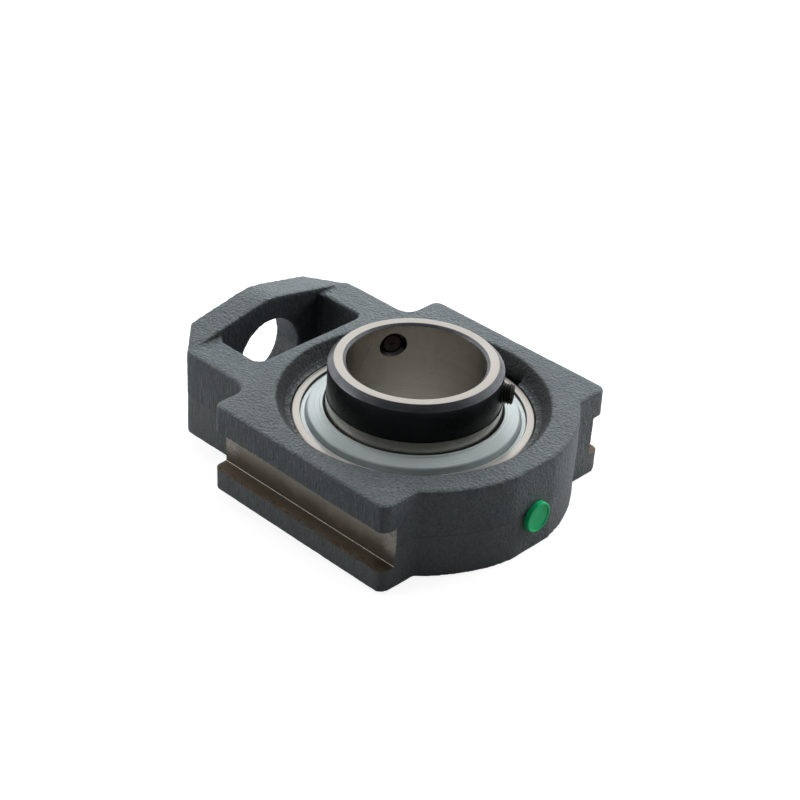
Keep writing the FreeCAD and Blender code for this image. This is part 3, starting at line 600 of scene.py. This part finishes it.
lead = [THROAT, (LEAD_RADIUS, LEAD_FOOT), (LEAD_RADIUS, CLEAR)]
lead = [(radius, -height) for radius, height in reversed(lead)] + lead
work(casting, turned_tool("lead", lead, primer))
heights = np.linspace(-SEAT_MOUTH, SEAT_MOUTH, 25)
sphere = [(math.sqrt(SEAT_RADIUS ** 2 - z * z), z) for z in heights]
work(casting, turned_tool("seat", [(SEAT_CORE, -CLEAR)] + sphere + [(SEAT_CORE, CLEAR)], milled))
slot = [(x * SLOT_SIDE, y * SLOT_REACH) for x, y in ((-1, -1), (1, -1), (1, 1), (-1, 1))]
work(casting, prism("loading_slot", slot, 0, CLEAR, finish=primer))
grease_line = lengthways(y=GREASE_SIDE, z=GREASE_RISE)
work(casting, prism("grease_way", circle(GREASE_WAY, 10), GREASE_FROM, CUTTER_RUN, grease_line, primer))

CHIPS = {"Spacing": 1.6 * MM, "Least": 0.12 * MM, "Most": 0.5 * MM, "Share": 0.5, "Grains": 1500.0,
         "Seed": 3, "Finish": milled}
END_CHIPS = dict(CHIPS, Spacing=1.2 * MM, Least=0.2 * MM, Share=0.6)
chipping = chip_rule(CHIPS)


def chip_edges(name, across, pairs, sizes):
    """Chips the casting along lines drawn between the eight corners of the two ways."""
    corners = itertools.product((across, -across), (WAY_LOW, WAY_HIGH), (EAR_END, EAR_START))
    line = bpy.data.meshes.new(name)
    line.from_pydata([(x * MM, y * MM, z * MM) for y, z, x in corners], pairs, [])
    work(casting, follow_rule(plain_piece(name, line), chipping, sizes))


chip_edges("flange_chips", EAR_SIDE, [(0, 1), (2, 3), (4, 5), (6, 7)], CHIPS)
chip_edges("end_chips", WAY_FLOOR, [(0, 2), (1, 3), (4, 6), (5, 7)], END_CHIPS)
casting.data.set_sharp_from_angle(angle=math.radians(40))
for face in casting.data.polygons:
    beside = abs(face.center.y) > (WAY_FLOOR - 0.1) * MM
    face.use_smooth = not (beside and casting.data.materials[face.material_index] in (milled, bright))
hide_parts("housing")
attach(casting, "housing")


# The outer ring. Bearing steel, hardened and ground: a sphere outside that sits in the casting, the
# balls' raceway inside, a ledge at each side for a shield, and a way for grease round its lower half.

def wrapped_grid(tree, rows, steps):
    """A grid that will go round an axis, each point's row, and its part of the whole turn."""
    lines = reckon(tree, "ADD", steps, 1.0)
    grid = add(tree, "GeometryNodeMeshGrid", {"Vertices X": rows, "Vertices Y": lines})
    index = add(tree, "GeometryNodeInputIndex")
    row = reckon(tree, "FLOOR", reckon(tree, "DIVIDE", reckon(tree, "ADD", index, 0.5), lines))
    step = reckon(tree, "SUBTRACT", index, reckon(tree, "MULTIPLY", row, lines))
    return grid, row, reckon(tree, "DIVIDE", step, steps)


def wrapped(tree, grid, out, turn, height):
    """Puts the grid's points this far out from Z, round it and up it, and closes the seam."""
    swing = reckon(tree, "MULTIPLY", turn, 2 * math.pi)
    x, y = (reckon(tree, "MULTIPLY", out, reckon(tree, way, swing)) for way in ("COSINE", "SINE"))
    spot = add(tree, "ShaderNodeCombineXYZ", {"X": x, "Y": y, "Z": height})
    shape = add(tree, "GeometryNodeSetPosition", {"Geometry": grid, "Position": spot})
    return add(tree, "GeometryNodeMergeByDistance", {"Geometry": shape, "Distance": 2e-7})


def turning_rule(sizes):
    """Turns a profile of points, x out from the axis and z along it, all the way round."""
    tree, given, last = new_rule("turning", sizes)
    profile = given["Geometry"]
    corners = add(tree, "GeometryNodeAttributeDomainSize", {"Geometry": profile}, component="MESH")
    grid, row, turn = wrapped_grid(tree, reckon(tree, "ADD", corners, 1.0), given["Steps"])
    place = add(tree, "GeometryNodeInputPosition")
    corner = {"Geometry": profile, "Value": place, "Index": reckon(tree, "MODULO", row, corners)}
    corner = add(tree, "GeometryNodeSampleIndex", corner, data_type="FLOAT_VECTOR")
    x, y, z = add(tree, "ShaderNodeSeparateXYZ", {"Vector": corner}).node.outputs
    shape = add(tree, "GeometryNodeSetShadeSmooth", {"Geometry": wrapped(tree, grid, x, turn, z)})
    end_rule(tree, shape, given["Finish"], last)
    return tree


SHARP_EDGE = math.radians(32)


def turned_piece(name, corners, finish, steps=192):
    """A ring or a pin turned from (radius, height, corner radius) rows in millimetres."""
    mesh = bpy.data.meshes.new(name)
    mesh.from_pydata([(x * MM, 0, z * MM) for x, z in rounded(corners, 15)], [], [])
    piece = plain_piece(name, mesh)
    follow_rule(piece, turning, {"Steps": steps, "Finish": finish})
    outward(piece.data)
    piece.data.set_sharp_from_angle(angle=SHARP_EDGE)
    return piece


def arc(centre, radius, start, end, count):
    """Profile rows along an arc, in degrees, about a point given as (radius, height)."""
    turns = np.radians(np.linspace(start, end, count))
    return [(centre[0] + radius * math.cos(a), centre[1] + radius * math.sin(a), 0) for a in turns]


def ground_steel():
    """Ring steel, hardened and ground: fine lines round it, a film of oil, and painted shade as a dark line
    at the ledge.
    """
    finish = Finish("ground_steel", Metallic=1.0, Anisotropic=0.6, Anisotropic_Rotation=0.25)
    round_shaft = add(finish.tree, "ShaderNodeTangent", direction_type="RADIAL", axis="Z")
    finish.tree.links.new(round_shaft, finish.shader.inputs["Tangent"])
    lines = finish.speckle(1.0, detail=2.0, place=finish.turned(0.3, 2.5, 0.3))
    film = finish.speckle(22.0, detail=1.0)
    # Painted shade: a dark line on the ledge's wall, where the gap under the shield's rim lies in shade.
    ledge = finish.edge(finish.off(finish.out(), LEDGE_RADIUS * MM), 0.16, 0.06)
    colour = finish.coats(
        finish.between(finish.ramp(film, 0.3, 0.7), tone(207, 202, 195), tone(217, 213, 207)),
        (finish.ramp(lines, 0.35, 0.7, 0.0, 0.4), tone(188, 183, 175)),
        # painted shade in the gap by the shield
        (finish.both(ledge, 0.9), tone(34, 34, 34)))
    finish.relief(lines, 0.002)
    return finish.done(colour, finish.ramp(film, 0.3, 0.7, 0.24, 0.32))


SPHERE, SPHERE_TOP = 45.0, 10.6
FACE, FACE_RADIUS = 11.0, 43.24
LEDGE, LEDGE_RADIUS, SHOULDER = 9.2, 40.65, 39.0
OUTER_TRACK, TRACK_RADIUS, TRACK_OPEN = 34.85, 6.6, 51.05
GROOVE_LOW, GROOVE_HIGH, GROOVE_FLOOR = -7.1, -4.7, (43.73, 44.05)
OIL_HOLE, OIL_LEVEL = 0.8, -5.9

turning = turning_rule({"Steps": 192, "Finish": primer})
ground = ground_steel()
heights = (SPHERE_TOP, GROOVE_LOW, GROOVE_HIGH)
edge, groove_low, groove_high = (math.degrees(math.asin(z / SPHERE)) for z in heights)
rows = [(FACE_RADIUS, -FACE, 0.15)] + arc((0, 0), SPHERE, -edge, groove_low, 6)
rows += [(GROOVE_FLOOR[0], GROOVE_LOW, 0.3), (GROOVE_FLOOR[1], GROOVE_HIGH, 0.3)]
rows += arc((0, 0), SPHERE, groove_high, edge, 14) + [(FACE_RADIUS, FACE, 0.15)]
ledge = [(LEDGE_RADIUS, FACE, 0.12), (LEDGE_RADIUS, LEDGE, 0), (SHOULDER, LEDGE, 0.2)]
rows += ledge + arc((OUTER_TRACK, 0), TRACK_RADIUS, TRACK_OPEN, -TRACK_OPEN, 17)
rows += [(radius, -height, ease) for radius, height, ease in reversed(ledge)]
outer = turned_piece("outer_race_ring", rows, ground, 240)
oil_hole = prism("oil_hole", circle(OIL_HOLE, 20), SHOULDER - 1, SPHERE + 3, lengthways(z=OIL_LEVEL), ground)
work(outer, oil_hole)
outer.data.set_sharp_from_angle(angle=SHARP_EDGE)
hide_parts("outer_ring")
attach(outer, "outer_ring")


# The inner ring. The same steel, wide on one side for a collar that is blackened outside, bevelled
# bright at its rim and tapped for two set screws; the land below it is ground for the seal's lip.

def collar_black():
    """Black oxide on the collar: deep and even, half gloss, thinner along the turning lines."""
    finish = Finish("collar_black", Metallic=0.35, Specular_IOR_Level=0.6)
    lines = finish.speckle(1.0, detail=2.0, place=finish.turned(0.2, 3.0, 0.2))
    clouds = finish.speckle(12.0, detail=1.0)
    colour = finish.coats(
        finish.between(finish.ramp(clouds, 0.3, 0.7), tone(18, 19, 21), tone(25, 27, 30)),
        (finish.ramp(lines, 0.5, 0.8, 0.0, 0.3), tone(38, 40, 44)))
    finish.relief(lines, 0.008)
    return finish.done(colour, finish.ramp(clouds, 0.3, 0.7, 0.26, 0.38))


def bevel_grey():
    """The collar's bevel, turned after blackening: grey steel with a blue cast."""
    finish = Finish("bevel_grey", Metallic=0.85)
    lines = finish.speckle(1.0, detail=3.0, place=finish.turned(0.15, 3.0, 0.15))
    clouds = finish.speckle(4.0, detail=2.0)
    colour = finish.coats(
        finish.between(finish.ramp(clouds, 0.3, 0.7), tone(108, 111, 116), tone(126, 129, 133)),
        (finish.ramp(lines, 0.4, 0.7, 0.0, 0.5), tone(84, 87, 93)))
    finish.relief(lines, 0.008)
    return finish.done(colour, finish.ramp(lines, 0.3, 0.7, 0.26, 0.36))


def thread_rule(sizes):
    """A screw thread along Z with bevelled ends, closed by flat caps."""
    tree, given, last = new_rule("thread", sizes)
    rings, length = given["Rings"], given["Length"]
    grid, row, turn = wrapped_grid(tree, rings, given["Steps"])
    top = reckon(tree, "SUBTRACT", rings, 3.0)
    level = reckon(tree, "MAXIMUM", reckon(tree, "SUBTRACT", row, 1.0), 0.0)
    level = reckon(tree, "DIVIDE", reckon(tree, "MINIMUM", level, top), top)
    height = reckon(tree, "MULTIPLY", level, length)
    phase = reckon(tree, "SUBTRACT", reckon(tree, "DIVIDE", height, given["Pitch"]), turn)
    flank = reckon(tree, "MULTIPLY", reckon(tree, "FRACT", phase), 2.0)
    flank = reckon(tree, "ABSOLUTE", reckon(tree, "SUBTRACT", flank, 1.0))
    flank = reckon(tree, "MINIMUM", reckon(tree, "MULTIPLY", flank, given["Steepness"]), 1.0)
    out = reckon(tree, "SUBTRACT", given["Radius"], reckon(tree, "MULTIPLY", flank, given["Depth"]))
    to_end = reckon(tree, "MINIMUM", height, reckon(tree, "SUBTRACT", length, height))
    narrow = reckon(tree, "SUBTRACT", given["Radius"], given["Bevel"])
    out = reckon(tree, "MINIMUM", out, reckon(tree, "ADD", narrow, to_end))
    after_first = reckon(tree, "GREATER_THAN", row, 0.5)
    before_last = reckon(tree, "LESS_THAN", row, reckon(tree, "SUBTRACT", rings, 1.5))
    out = reckon(tree, "MULTIPLY", out, reckon(tree, "MULTIPLY", after_first, before_last))
    end_rule(tree, wrapped(tree, grid, out, turn, height), given["Finish"], last)
    return tree


THREAD = {"Steps": 40, "Rings": 98, "Radius": 3.8 * MM, "Pitch": 1.0 * MM, "Depth": 0.45 * MM,
          "Steepness": 1.15, "Length": 10.0 * MM, "Bevel": 0.6 * MM, "Finish": primer}
TAP = {"Radius": 4.0 * MM, "Depth": 0.14 * MM, "Bevel": 0.0, "Length": 12.0 * MM}
thread = thread_rule(THREAD)
# The tapped holes' countersink in the bore: radius, and how far out from the shaft's line.
SINK = [(6.0, 23.6), (4.0, 26.0), (3.4, 26.0)]
SCREW_HEIGHT = 24.2
# Each screw's direction in degrees, and how far out its tip is.
SCREWS = {"set_screw_1": (153.1, 26.0), "set_screw_2": (33.1, 25.2)}


def screw_place(swing, start=0.0):
    """Lays a pin made along Z level at the screws' height, out from the shaft in one direction."""
    level = Matrix.Translation((start * MM, 0, SCREW_HEIGHT * MM)) @ Matrix.Rotation(math.pi / 2, 4, "Y")
    return Matrix.Rotation(math.radians(swing), 4, "Z") @ level


def threaded(name, finish, swing, start, **sizes):
    """A threaded rod in a screw's place, from this far out."""
    piece = plain_piece(name, bpy.data.meshes.new(name))
    follow_rule(piece, thread, dict(THREAD, Finish=finish, **sizes))
    piece.data.transform(screw_place(swing, start))
    outward(piece.data)
    return piece


collar, bevel = collar_black(), bevel_grey()

BORE, MOUTH, LAND, COLLAR = 25.0, 26.1, 31.7, 31.4
LOW_END, COLLAR_FOOT, COLLAR_RIM, HIGH_END = -19.0, 18.4, 30.5, 32.6
BEVEL_INSIDE = 29.3
INNER_TRACK, INNER_OPEN = 35.15, (238.5, 121.5)

rows = [(BORE + 0.8, LOW_END, 0.1), (LAND - 1, LOW_END, 0.2), (LAND, LOW_END + 1, 0.2)]
rows += arc((INNER_TRACK, 0), TRACK_RADIUS, *INNER_OPEN, 17) + [(LAND, COLLAR_FOOT, 0.06)]
rows += [(COLLAR, z, 0) for z in (COLLAR_FOOT, 20, 22, 24.5, 26.5, 28.5)] + [(COLLAR, COLLAR_RIM, 0.15)]
rows += [(BEVEL_INSIDE, HIGH_END, 0.15), (MOUTH, HIGH_END, 0.12), (BORE, HIGH_END - 0.8, 0.12)]
rows += [(BORE, z, 0) for z in (29.5, 27.5, 25.5, 23, 21, 19, 0)] + [(BORE, LOW_END + 0.8, 0.1)]
inner = turned_piece("inner_race_ring", rows, ground, 240)
for swing, start in SCREWS.values():
    work(inner, threaded("tap", collar, swing, BORE - 2, **TAP))
    sink = turned_tool("sink", SINK, collar, 60)
    sink.data.transform(screw_place(swing))
    work(inner, sink)


def collar_faces(piece):
    """Blackened outside and in the tapped holes, grey on the bevel and in the bore's upper mouth."""
    mesh = piece.data
    mesh.materials.clear()
    for finish in (ground, collar, bevel):
        mesh.materials.append(finish)
    x, y, z = np.array([face.center for face in mesh.polygons]).T / MM
    nx, ny, nz = np.array([face.normal for face in mesh.polygons]).T
    out = np.hypot(x, y)
    radial = (x * nx + y * ny) / out
    outside = (out > COLLAR - 0.2) & (z > COLLAR_FOOT - 0.05) & (z < COLLAR_RIM + 0.1)
    mouth = (out < BORE + 1.5) & (abs(z) > -LOW_END - 0.75) & (abs(nz) > 0.4) & (abs(nz) < 0.95)
    holes = (out > BORE + 0.02) & (out < COLLAR - 0.02) & (abs(z - SCREW_HEIGHT) < 5.6)
    slope = (z > COLLAR_RIM - 0.05) & (out > BEVEL_INSIDE - 0.1) & (radial > 0.35)
    index = np.zeros(len(mesh.polygons), np.int32)
    index[outside | mouth | holes] = 1
    index[slope | (mouth & (z > 0))] = 2
    mesh.polygons.foreach_set("material_index", index)
    mesh.set_sharp_from_angle(angle=SHARP_EDGE)


collar_faces(inner)
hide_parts("inner_ring")
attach(inner, "inner_ring")


# The balls and their ribbon cage. Ten ground balls between the races, and two pressed strips that
# ten rivets hold together between them. They are closed in by the shields.

def ball_steel():
    """Ball steel, lapped bright, with the faintest marks."""
    finish = Finish("ball_polish", Metallic=1.0)
    marks = finish.speckle(1.2, detail=3.0)
    colour = finish.between(finish.ramp(marks, 0.35, 0.7), tone(202, 204, 206), tone(216, 217, 218))
    finish.relief(marks, 0.002)
    return finish.done(colour, finish.ramp(marks, 0.3, 0.7, 0.06, 0.12))


def cage_strip():
    """Cold rolled strip with a film of grease in the pockets."""
    finish = Finish("cage_strip", Metallic=0.9)
    rolled = finish.speckle(1.0, detail=3.0, place=finish.turned(0.3, 1.5, 2.0))
    grease = finish.speckle(4.0, detail=3.0)
    colour = finish.coats(
        finish.between(finish.ramp(rolled, 0.35, 0.7), tone(150, 147, 142), tone(176, 174, 170)),
        (finish.ramp(grease, 0.5, 0.68, 0.0, 0.7), tone(150, 120, 78)))
    finish.relief(rolled, 0.01)
    return finish.done(colour, finish.ramp(grease, 0.4, 0.7, 0.42, 0.24))


def dress(node, finish):
    """A carried piece whose shape is right takes its finish only."""
    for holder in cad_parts[node].material_slots:
        holder.material = finish


polish, strip = ball_steel(), cage_strip()
for number in range(1, 11):
    dress("ball_%02d" % number, polish)
for node in ("cage_upper", "cage_lower", "cage_rivets"):
    dress(node, strip)


# The seals, one at each side. A shield pressed from zinc plated sheet snaps over the outer ring's
# ledge, with a step, a dished face and a folded inner edge, and a black rubber lip is bonded under it.

SHIELD_RIM, STEP_TOP, STEP_FOOT = 40.45, 10.0, 38.6
FOLD_LINE = 38.8
EDGE_RADIUS, EDGE_FOOT, EDGE_TOP = 32.6, 13.3, 14.1
LIP_EDGE, LIP_NECK, LIP_BACK, LIP_FOOT = 31.78, 32.28, 32.92, 11.7


def zinc_sheet():
    """Pale blue passivated zinc: soft cloudy sheen, drawing lines round it, a few fine scuffs and a ring of
    painted shade at the step's foot.
    """
    finish = Finish("zinc_sheet", Metallic=0.15, Specular_IOR_Level=0.5)
    clouds = finish.speckle(9.0, detail=2.0)
    drawn = finish.speckle(1.0, detail=2.0, place=finish.turned(0.35, 1.6, 0.35))
    scuffs = finish.ramp(finish.speckle(1.0, detail=1.0, place=finish.turned(0.9, 0.05, 3.0)), 0.66, 0.72)
    # Painted shade: a thin dark ring at the foot of the shield's step.
    step_foot_shade = finish.edge(finish.off(finish.out(), FOLD_LINE * MM), 0.26, 0.1)
    colour = finish.coats(
        finish.between(finish.ramp(clouds, 0.3, 0.7), tone(204, 216, 216), tone(214, 224, 223)),
        (finish.ramp(drawn, 0.4, 0.7, 0.0, 0.35), tone(178, 189, 190)),
        # painted shade at the step's foot
        (finish.both(step_foot_shade, 0.85), tone(58, 64, 66)),
        (finish.both(scuffs, 0.35), tone(212, 218, 217)))
    finish.relief(drawn, 0.008)
    return finish.done(colour, finish.ramp(clouds, 0.3, 0.7, 0.34, 0.44))


def seal_rubber():
    """Black nitrile rubber, slightly dusty, with moulded lines round it."""
    finish = Finish("seal_rubber", Metallic=0.0, Specular_IOR_Level=0.4)
    dust = finish.speckle(0.8, detail=4.0, roughness=0.7)
    moulded = finish.speckle(1.0, detail=1.0, place=finish.turned(0.25, 4.0, 0.25))
    colour = finish.between(finish.ramp(dust, 0.4, 0.75), tone(20, 20, 21), tone(38, 37, 36))
    finish.relief(moulded, 0.02)
    return finish.done(colour, finish.ramp(dust, 0.3, 0.7, 0.5, 0.7))


def seal_piece(kind, side, flip, rows, finish):
    """One ring of a seal, turned over for the lower side."""
    piece = turned_piece(kind + "_" + side, [(x, flip * z, ease) for x, z, ease in rows], finish)
    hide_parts("seal_" + kind + "_" + side)
    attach(piece, "outer_ring")


zinc, rubber = zinc_sheet(), seal_rubber()
shield_rows = [(SHIELD_RIM, LEDGE, 0.1), (SHIELD_RIM, STEP_TOP, 0.2), (STEP_FOOT, STEP_TOP, 0.12)]
shield_rows += [(38.1, 12.2, 1.1), (33.85, 13.65, 0.4), (33.4, EDGE_TOP, 0.3)]
shield_rows += [(EDGE_RADIUS, EDGE_TOP, 0.2), (EDGE_RADIUS, EDGE_FOOT, 0.1), (33.0, EDGE_FOOT, 0.1)]
shield_rows += [(33.3, 12.95, 0.2), (37.3, 11.5, 0.4), (37.8, LEDGE, 0.1)]
lip_rows = [(LIP_BACK, EDGE_FOOT, 0), (32.52, EDGE_FOOT, 0), (32.52, 13.8, 0.08), (32.27, 13.8, 0.1)]
lip_rows += [(LIP_EDGE, 13.2, 0.1), (LIP_EDGE, 12.8, 0.1), (LIP_NECK, 12.5, 0.1)]
lip_rows += [(LIP_NECK, LIP_FOOT, 0.1), (LIP_BACK, LIP_FOOT, 0.1)]
for side, flip in (("upper", 1), ("lower", -1)):
    seal_piece("shield", side, flip, shield_rows, zinc)
    seal_piece("lip", side, flip, lip_rows, rubber)


# The two set screws. Fine threaded steel pins, blackened, with a hexagon socket outside and a cup
# point that bites the shaft; one stands well proud of the collar, as it was left when packed.

SOCKET_FLAT = 2.0
SOCKET_FLOOR, PIN_END = 5.5, 12.0
# The hollow of the cup point: radius, and how far from the tip.
CUP = [(3.4, -1.4), (0.4, 0.6)]


def blackened_screw():
    """Black oxide on a rolled thread, rubbed brown and bright on its crests and in the cup."""
    finish = Finish("blackened_screw", Metallic=0.3, Specular_IOR_Level=0.5)
    rub = finish.speckle(0.5, detail=3.0, roughness=0.65)
    clouds = finish.speckle(2.5, detail=2.0)
    crest = finish.ramp(finish.bend(), 0.5, 0.6)
    colour = finish.coats(
        finish.between(finish.ramp(clouds, 0.35, 0.65), tone(24, 24, 26), tone(40, 38, 37)),
        (finish.both(crest, finish.ramp(rub, 0.4, 0.6, 0.1, 0.7)), tone(84, 74, 64)))
    finish.relief(rub, 0.012)
    return finish.done(colour, finish.ramp(rub, 0.3, 0.7, 0.3, 0.48))


black = blackened_screw()
hexagon = circle(SOCKET_FLAT / math.cos(math.pi / 6), 60)
for name, (swing, tip) in SCREWS.items():
    pin = threaded(name + "_pin", black, swing, tip)
    outward_line = Matrix.Rotation(math.radians(swing), 4, "Z") @ lengthways(z=SCREW_HEIGHT)
    work(pin, prism("socket", hexagon, tip + SOCKET_FLOOR, tip + PIN_END, outward_line, black))
    cup = turned_tool("cup", CUP, black, 40)
    cup.data.transform(screw_place(swing, tip))
    work(pin, cup)
    pin.data.set_sharp_from_angle(angle=math.radians(30))
    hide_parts(name)
    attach(pin, name)


# The transport plug. Green polyethylene, moulded in one piece: a stem pressed into the grease hole
# and a round head with a raised rim. It comes out when a grease nipple goes in.

STEM, STEM_BORE, STEM_LENGTH = 2.92, 1.7, 8
HEAD, HEAD_TOP, RIM_INSIDE, DISH_FLOOR = 5.8, 2.0, 5.0, 1.7


def green_plastic():
    """Moulded green polyethylene, waxy, with faint flow marks and a fine texture."""
    finish = Finish("green_plastic", Metallic=0.0, Specular_IOR_Level=0.5)
    flow = finish.speckle(3.5, detail=3.0)
    skin = finish.speckle(0.3, detail=2.0)
    colour = finish.between(finish.ramp(flow, 0.3, 0.7), tone(12, 204, 124), tone(20, 215, 136))
    finish.relief(skin, 0.012)
    return finish.done(colour, finish.ramp(skin, 0.3, 0.7, 0.34, 0.46))


rows = [(STEM_BORE, -STEM_LENGTH, 0.2), (STEM, -STEM_LENGTH, 0.3), (STEM, 0, 0)]
rows += [(HEAD, 0, 0.25), (HEAD, HEAD_TOP, 0.4), (RIM_INSIDE, HEAD_TOP, 0.25)]
rows += [(RIM_INSIDE - 0.15, DISH_FLOOR, 0.2), (0, DISH_FLOOR, 0), (0, 0, 0), (STEM_BORE, 0, 0)]
plug = turned_piece("plug_head", rows, green_plastic(), 96)
plug.data.transform(lengthways(NOSE_FLAT, GREASE_SIDE, GREASE_RISE))
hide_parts("grease_plug")
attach(plug, "grease_plug")


# The photograph's setting: the unit lies on a pale table on its boss ridge and its nose, which
# tips the table a little against it, under a broad soft light from above and a white surround.

TABLE_REACH, TABLE_DEPTH, TABLE_GAP = 3000.0, 5.0, 0.15
BRIGHT_SIDE = (-0.70, 0.71, 0.0)


def kinds_of_ray(tree):
    """Whether a ray comes straight from the camera, and whether it was mirrored on its way."""
    rays = add(tree, "ShaderNodeLightPath").node.outputs
    return rays["Is Camera Ray"], reckon(tree, "MAXIMUM", rays["Is Glossy Ray"], rays["Is Transmission Ray"])


def table_top():
    """White where the camera looks at it in the open, a soft shadow under the unit, and a paler disc of
    painted light under the bore.
    """
    finish = Finish("table_top", Roughness=0.7, Specular_IOR_Level=0.1)
    tree = finish.tree
    seen, mirrored = kinds_of_ray(tree)
    strength = finish.reckon("ADD", finish.both(seen, 0.88), finish.both(mirrored, 0.1))
    glow = add(tree, "ShaderNodeEmission", {"Color": (1, 1, 1, 1), "Strength": strength})
    clouds = finish.ramp(finish.speckle(30.0), 0.3, 0.7)
    cloth_with_painted_light = finish.coats(
        finish.between(clouds, tone(164, 164, 163), tone(168, 168, 168)),
        # Painted light: a paler disc on the table under the bore, for the bore's walls to mirror.
        (finish.edge(finish.out(), 26, 22), tone(208, 206, 200)))
    tree.links.new(cloth_with_painted_light, finish.shader.inputs["Base Color"])
    both = add(tree, "ShaderNodeAddShader", {0: glow, 1: finish.shader.outputs[0]})
    tree.links.new(both, tree.nodes["Material Output"].inputs["Surface"])
    return finish.material


def white_surround():
    """White to the camera; as a light it is bright behind the unit and dim in front of it."""
    world = bpy.data.worlds.new("surround")
    world.use_nodes = True
    tree = world.node_tree
    seen, mirrored = kinds_of_ray(tree)
    looking = add(tree, "ShaderNodeTexCoord", output="Generated")
    behind = {0: looking, 1: BRIGHT_SIDE}
    behind = add(tree, "ShaderNodeVectorMath", behind, output="Value", operation="DOT_PRODUCT")
    rise = add(tree, "ShaderNodeSeparateXYZ", {"Vector": looking}, output="Z")
    level = ramp_of(tree, behind, -0.45, 0.55, 0.03, 0.95)
    level = reckon(tree, "MULTIPLY", level, ramp_of(tree, rise, 0.5, 0.9, 1.0, 0.7))
    gain = reckon(tree, "ADD", reckon(tree, "MULTIPLY", mirrored, 0.3), 0.75)
    level = reckon(tree, "MULTIPLY", level, gain)
    level = reckon(tree, "ADD", level, reckon(tree, "MULTIPLY", mirrored, 0.04))
    background = tree.nodes["Background"].inputs
    background["Color"].default_value = (1, 1, 1, 1)
    tree.links.new(reckon(tree, "MAXIMUM", seen, level), background["Strength"])
    return world


def lamp(name, place, size, power, mirrored=False):
    """A square soft light in metres that faces the unit."""
    data = bpy.data.lights.new(name, "AREA")
    data.size = size
    data.energy = power
    piece = bpy.data.objects.new(name, data)
    piece.location = place
    piece.rotation_euler = (-Vector(place)).to_track_quat("-Z", "Y").to_euler()
    piece.visible_glossy = mirrored
    bpy.context.scene.collection.objects.link(piece)


table = prism("table", circle(TABLE_REACH, 6), -TABLE_DEPTH, 0, finish=table_top())
lean = math.atan((RIDGE - BODY_HALF) / (WALL_FACE + NOSE_FLAT))
foot = Matrix.Translation((-WALL_FACE * MM, 0, -(RIDGE + TABLE_GAP) * MM))
table.data.transform(foot @ Matrix.Rotation(-lean, 4, "Y"))

bpy.context.scene.world = white_surround()
lamp("back", (-0.34, 0.34, 0.27), 0.25, 4.0)
lamp("top", (0.02, -0.02, 0.62), 0.4, 0.68)
lamp("right", (0.18, 0.64, 0.20), 0.3, 3.2)
lamp("left", (-0.48, -0.50, 0.20), 0.3, 1.0, mirrored=True)

view = bpy.data.cameras.new("photograph")
view.sensor_width = 36.0
view.lens = 86.26
view.clip_start, view.clip_end = 0.05, 20.0
camera = bpy.data.objects.new("photograph", view)
camera.location = (0.38776, -0.42913, 0.38009)
camera.rotation_euler = Euler([math.radians(turn) for turn in (57.7227, -2.9078, 44.4327)], "XYZ")
bpy.context.scene.collection.objects.link(camera)
bpy.context.scene.camera = camera
bpy.context.scene.view_settings.view_transform = "Standard"
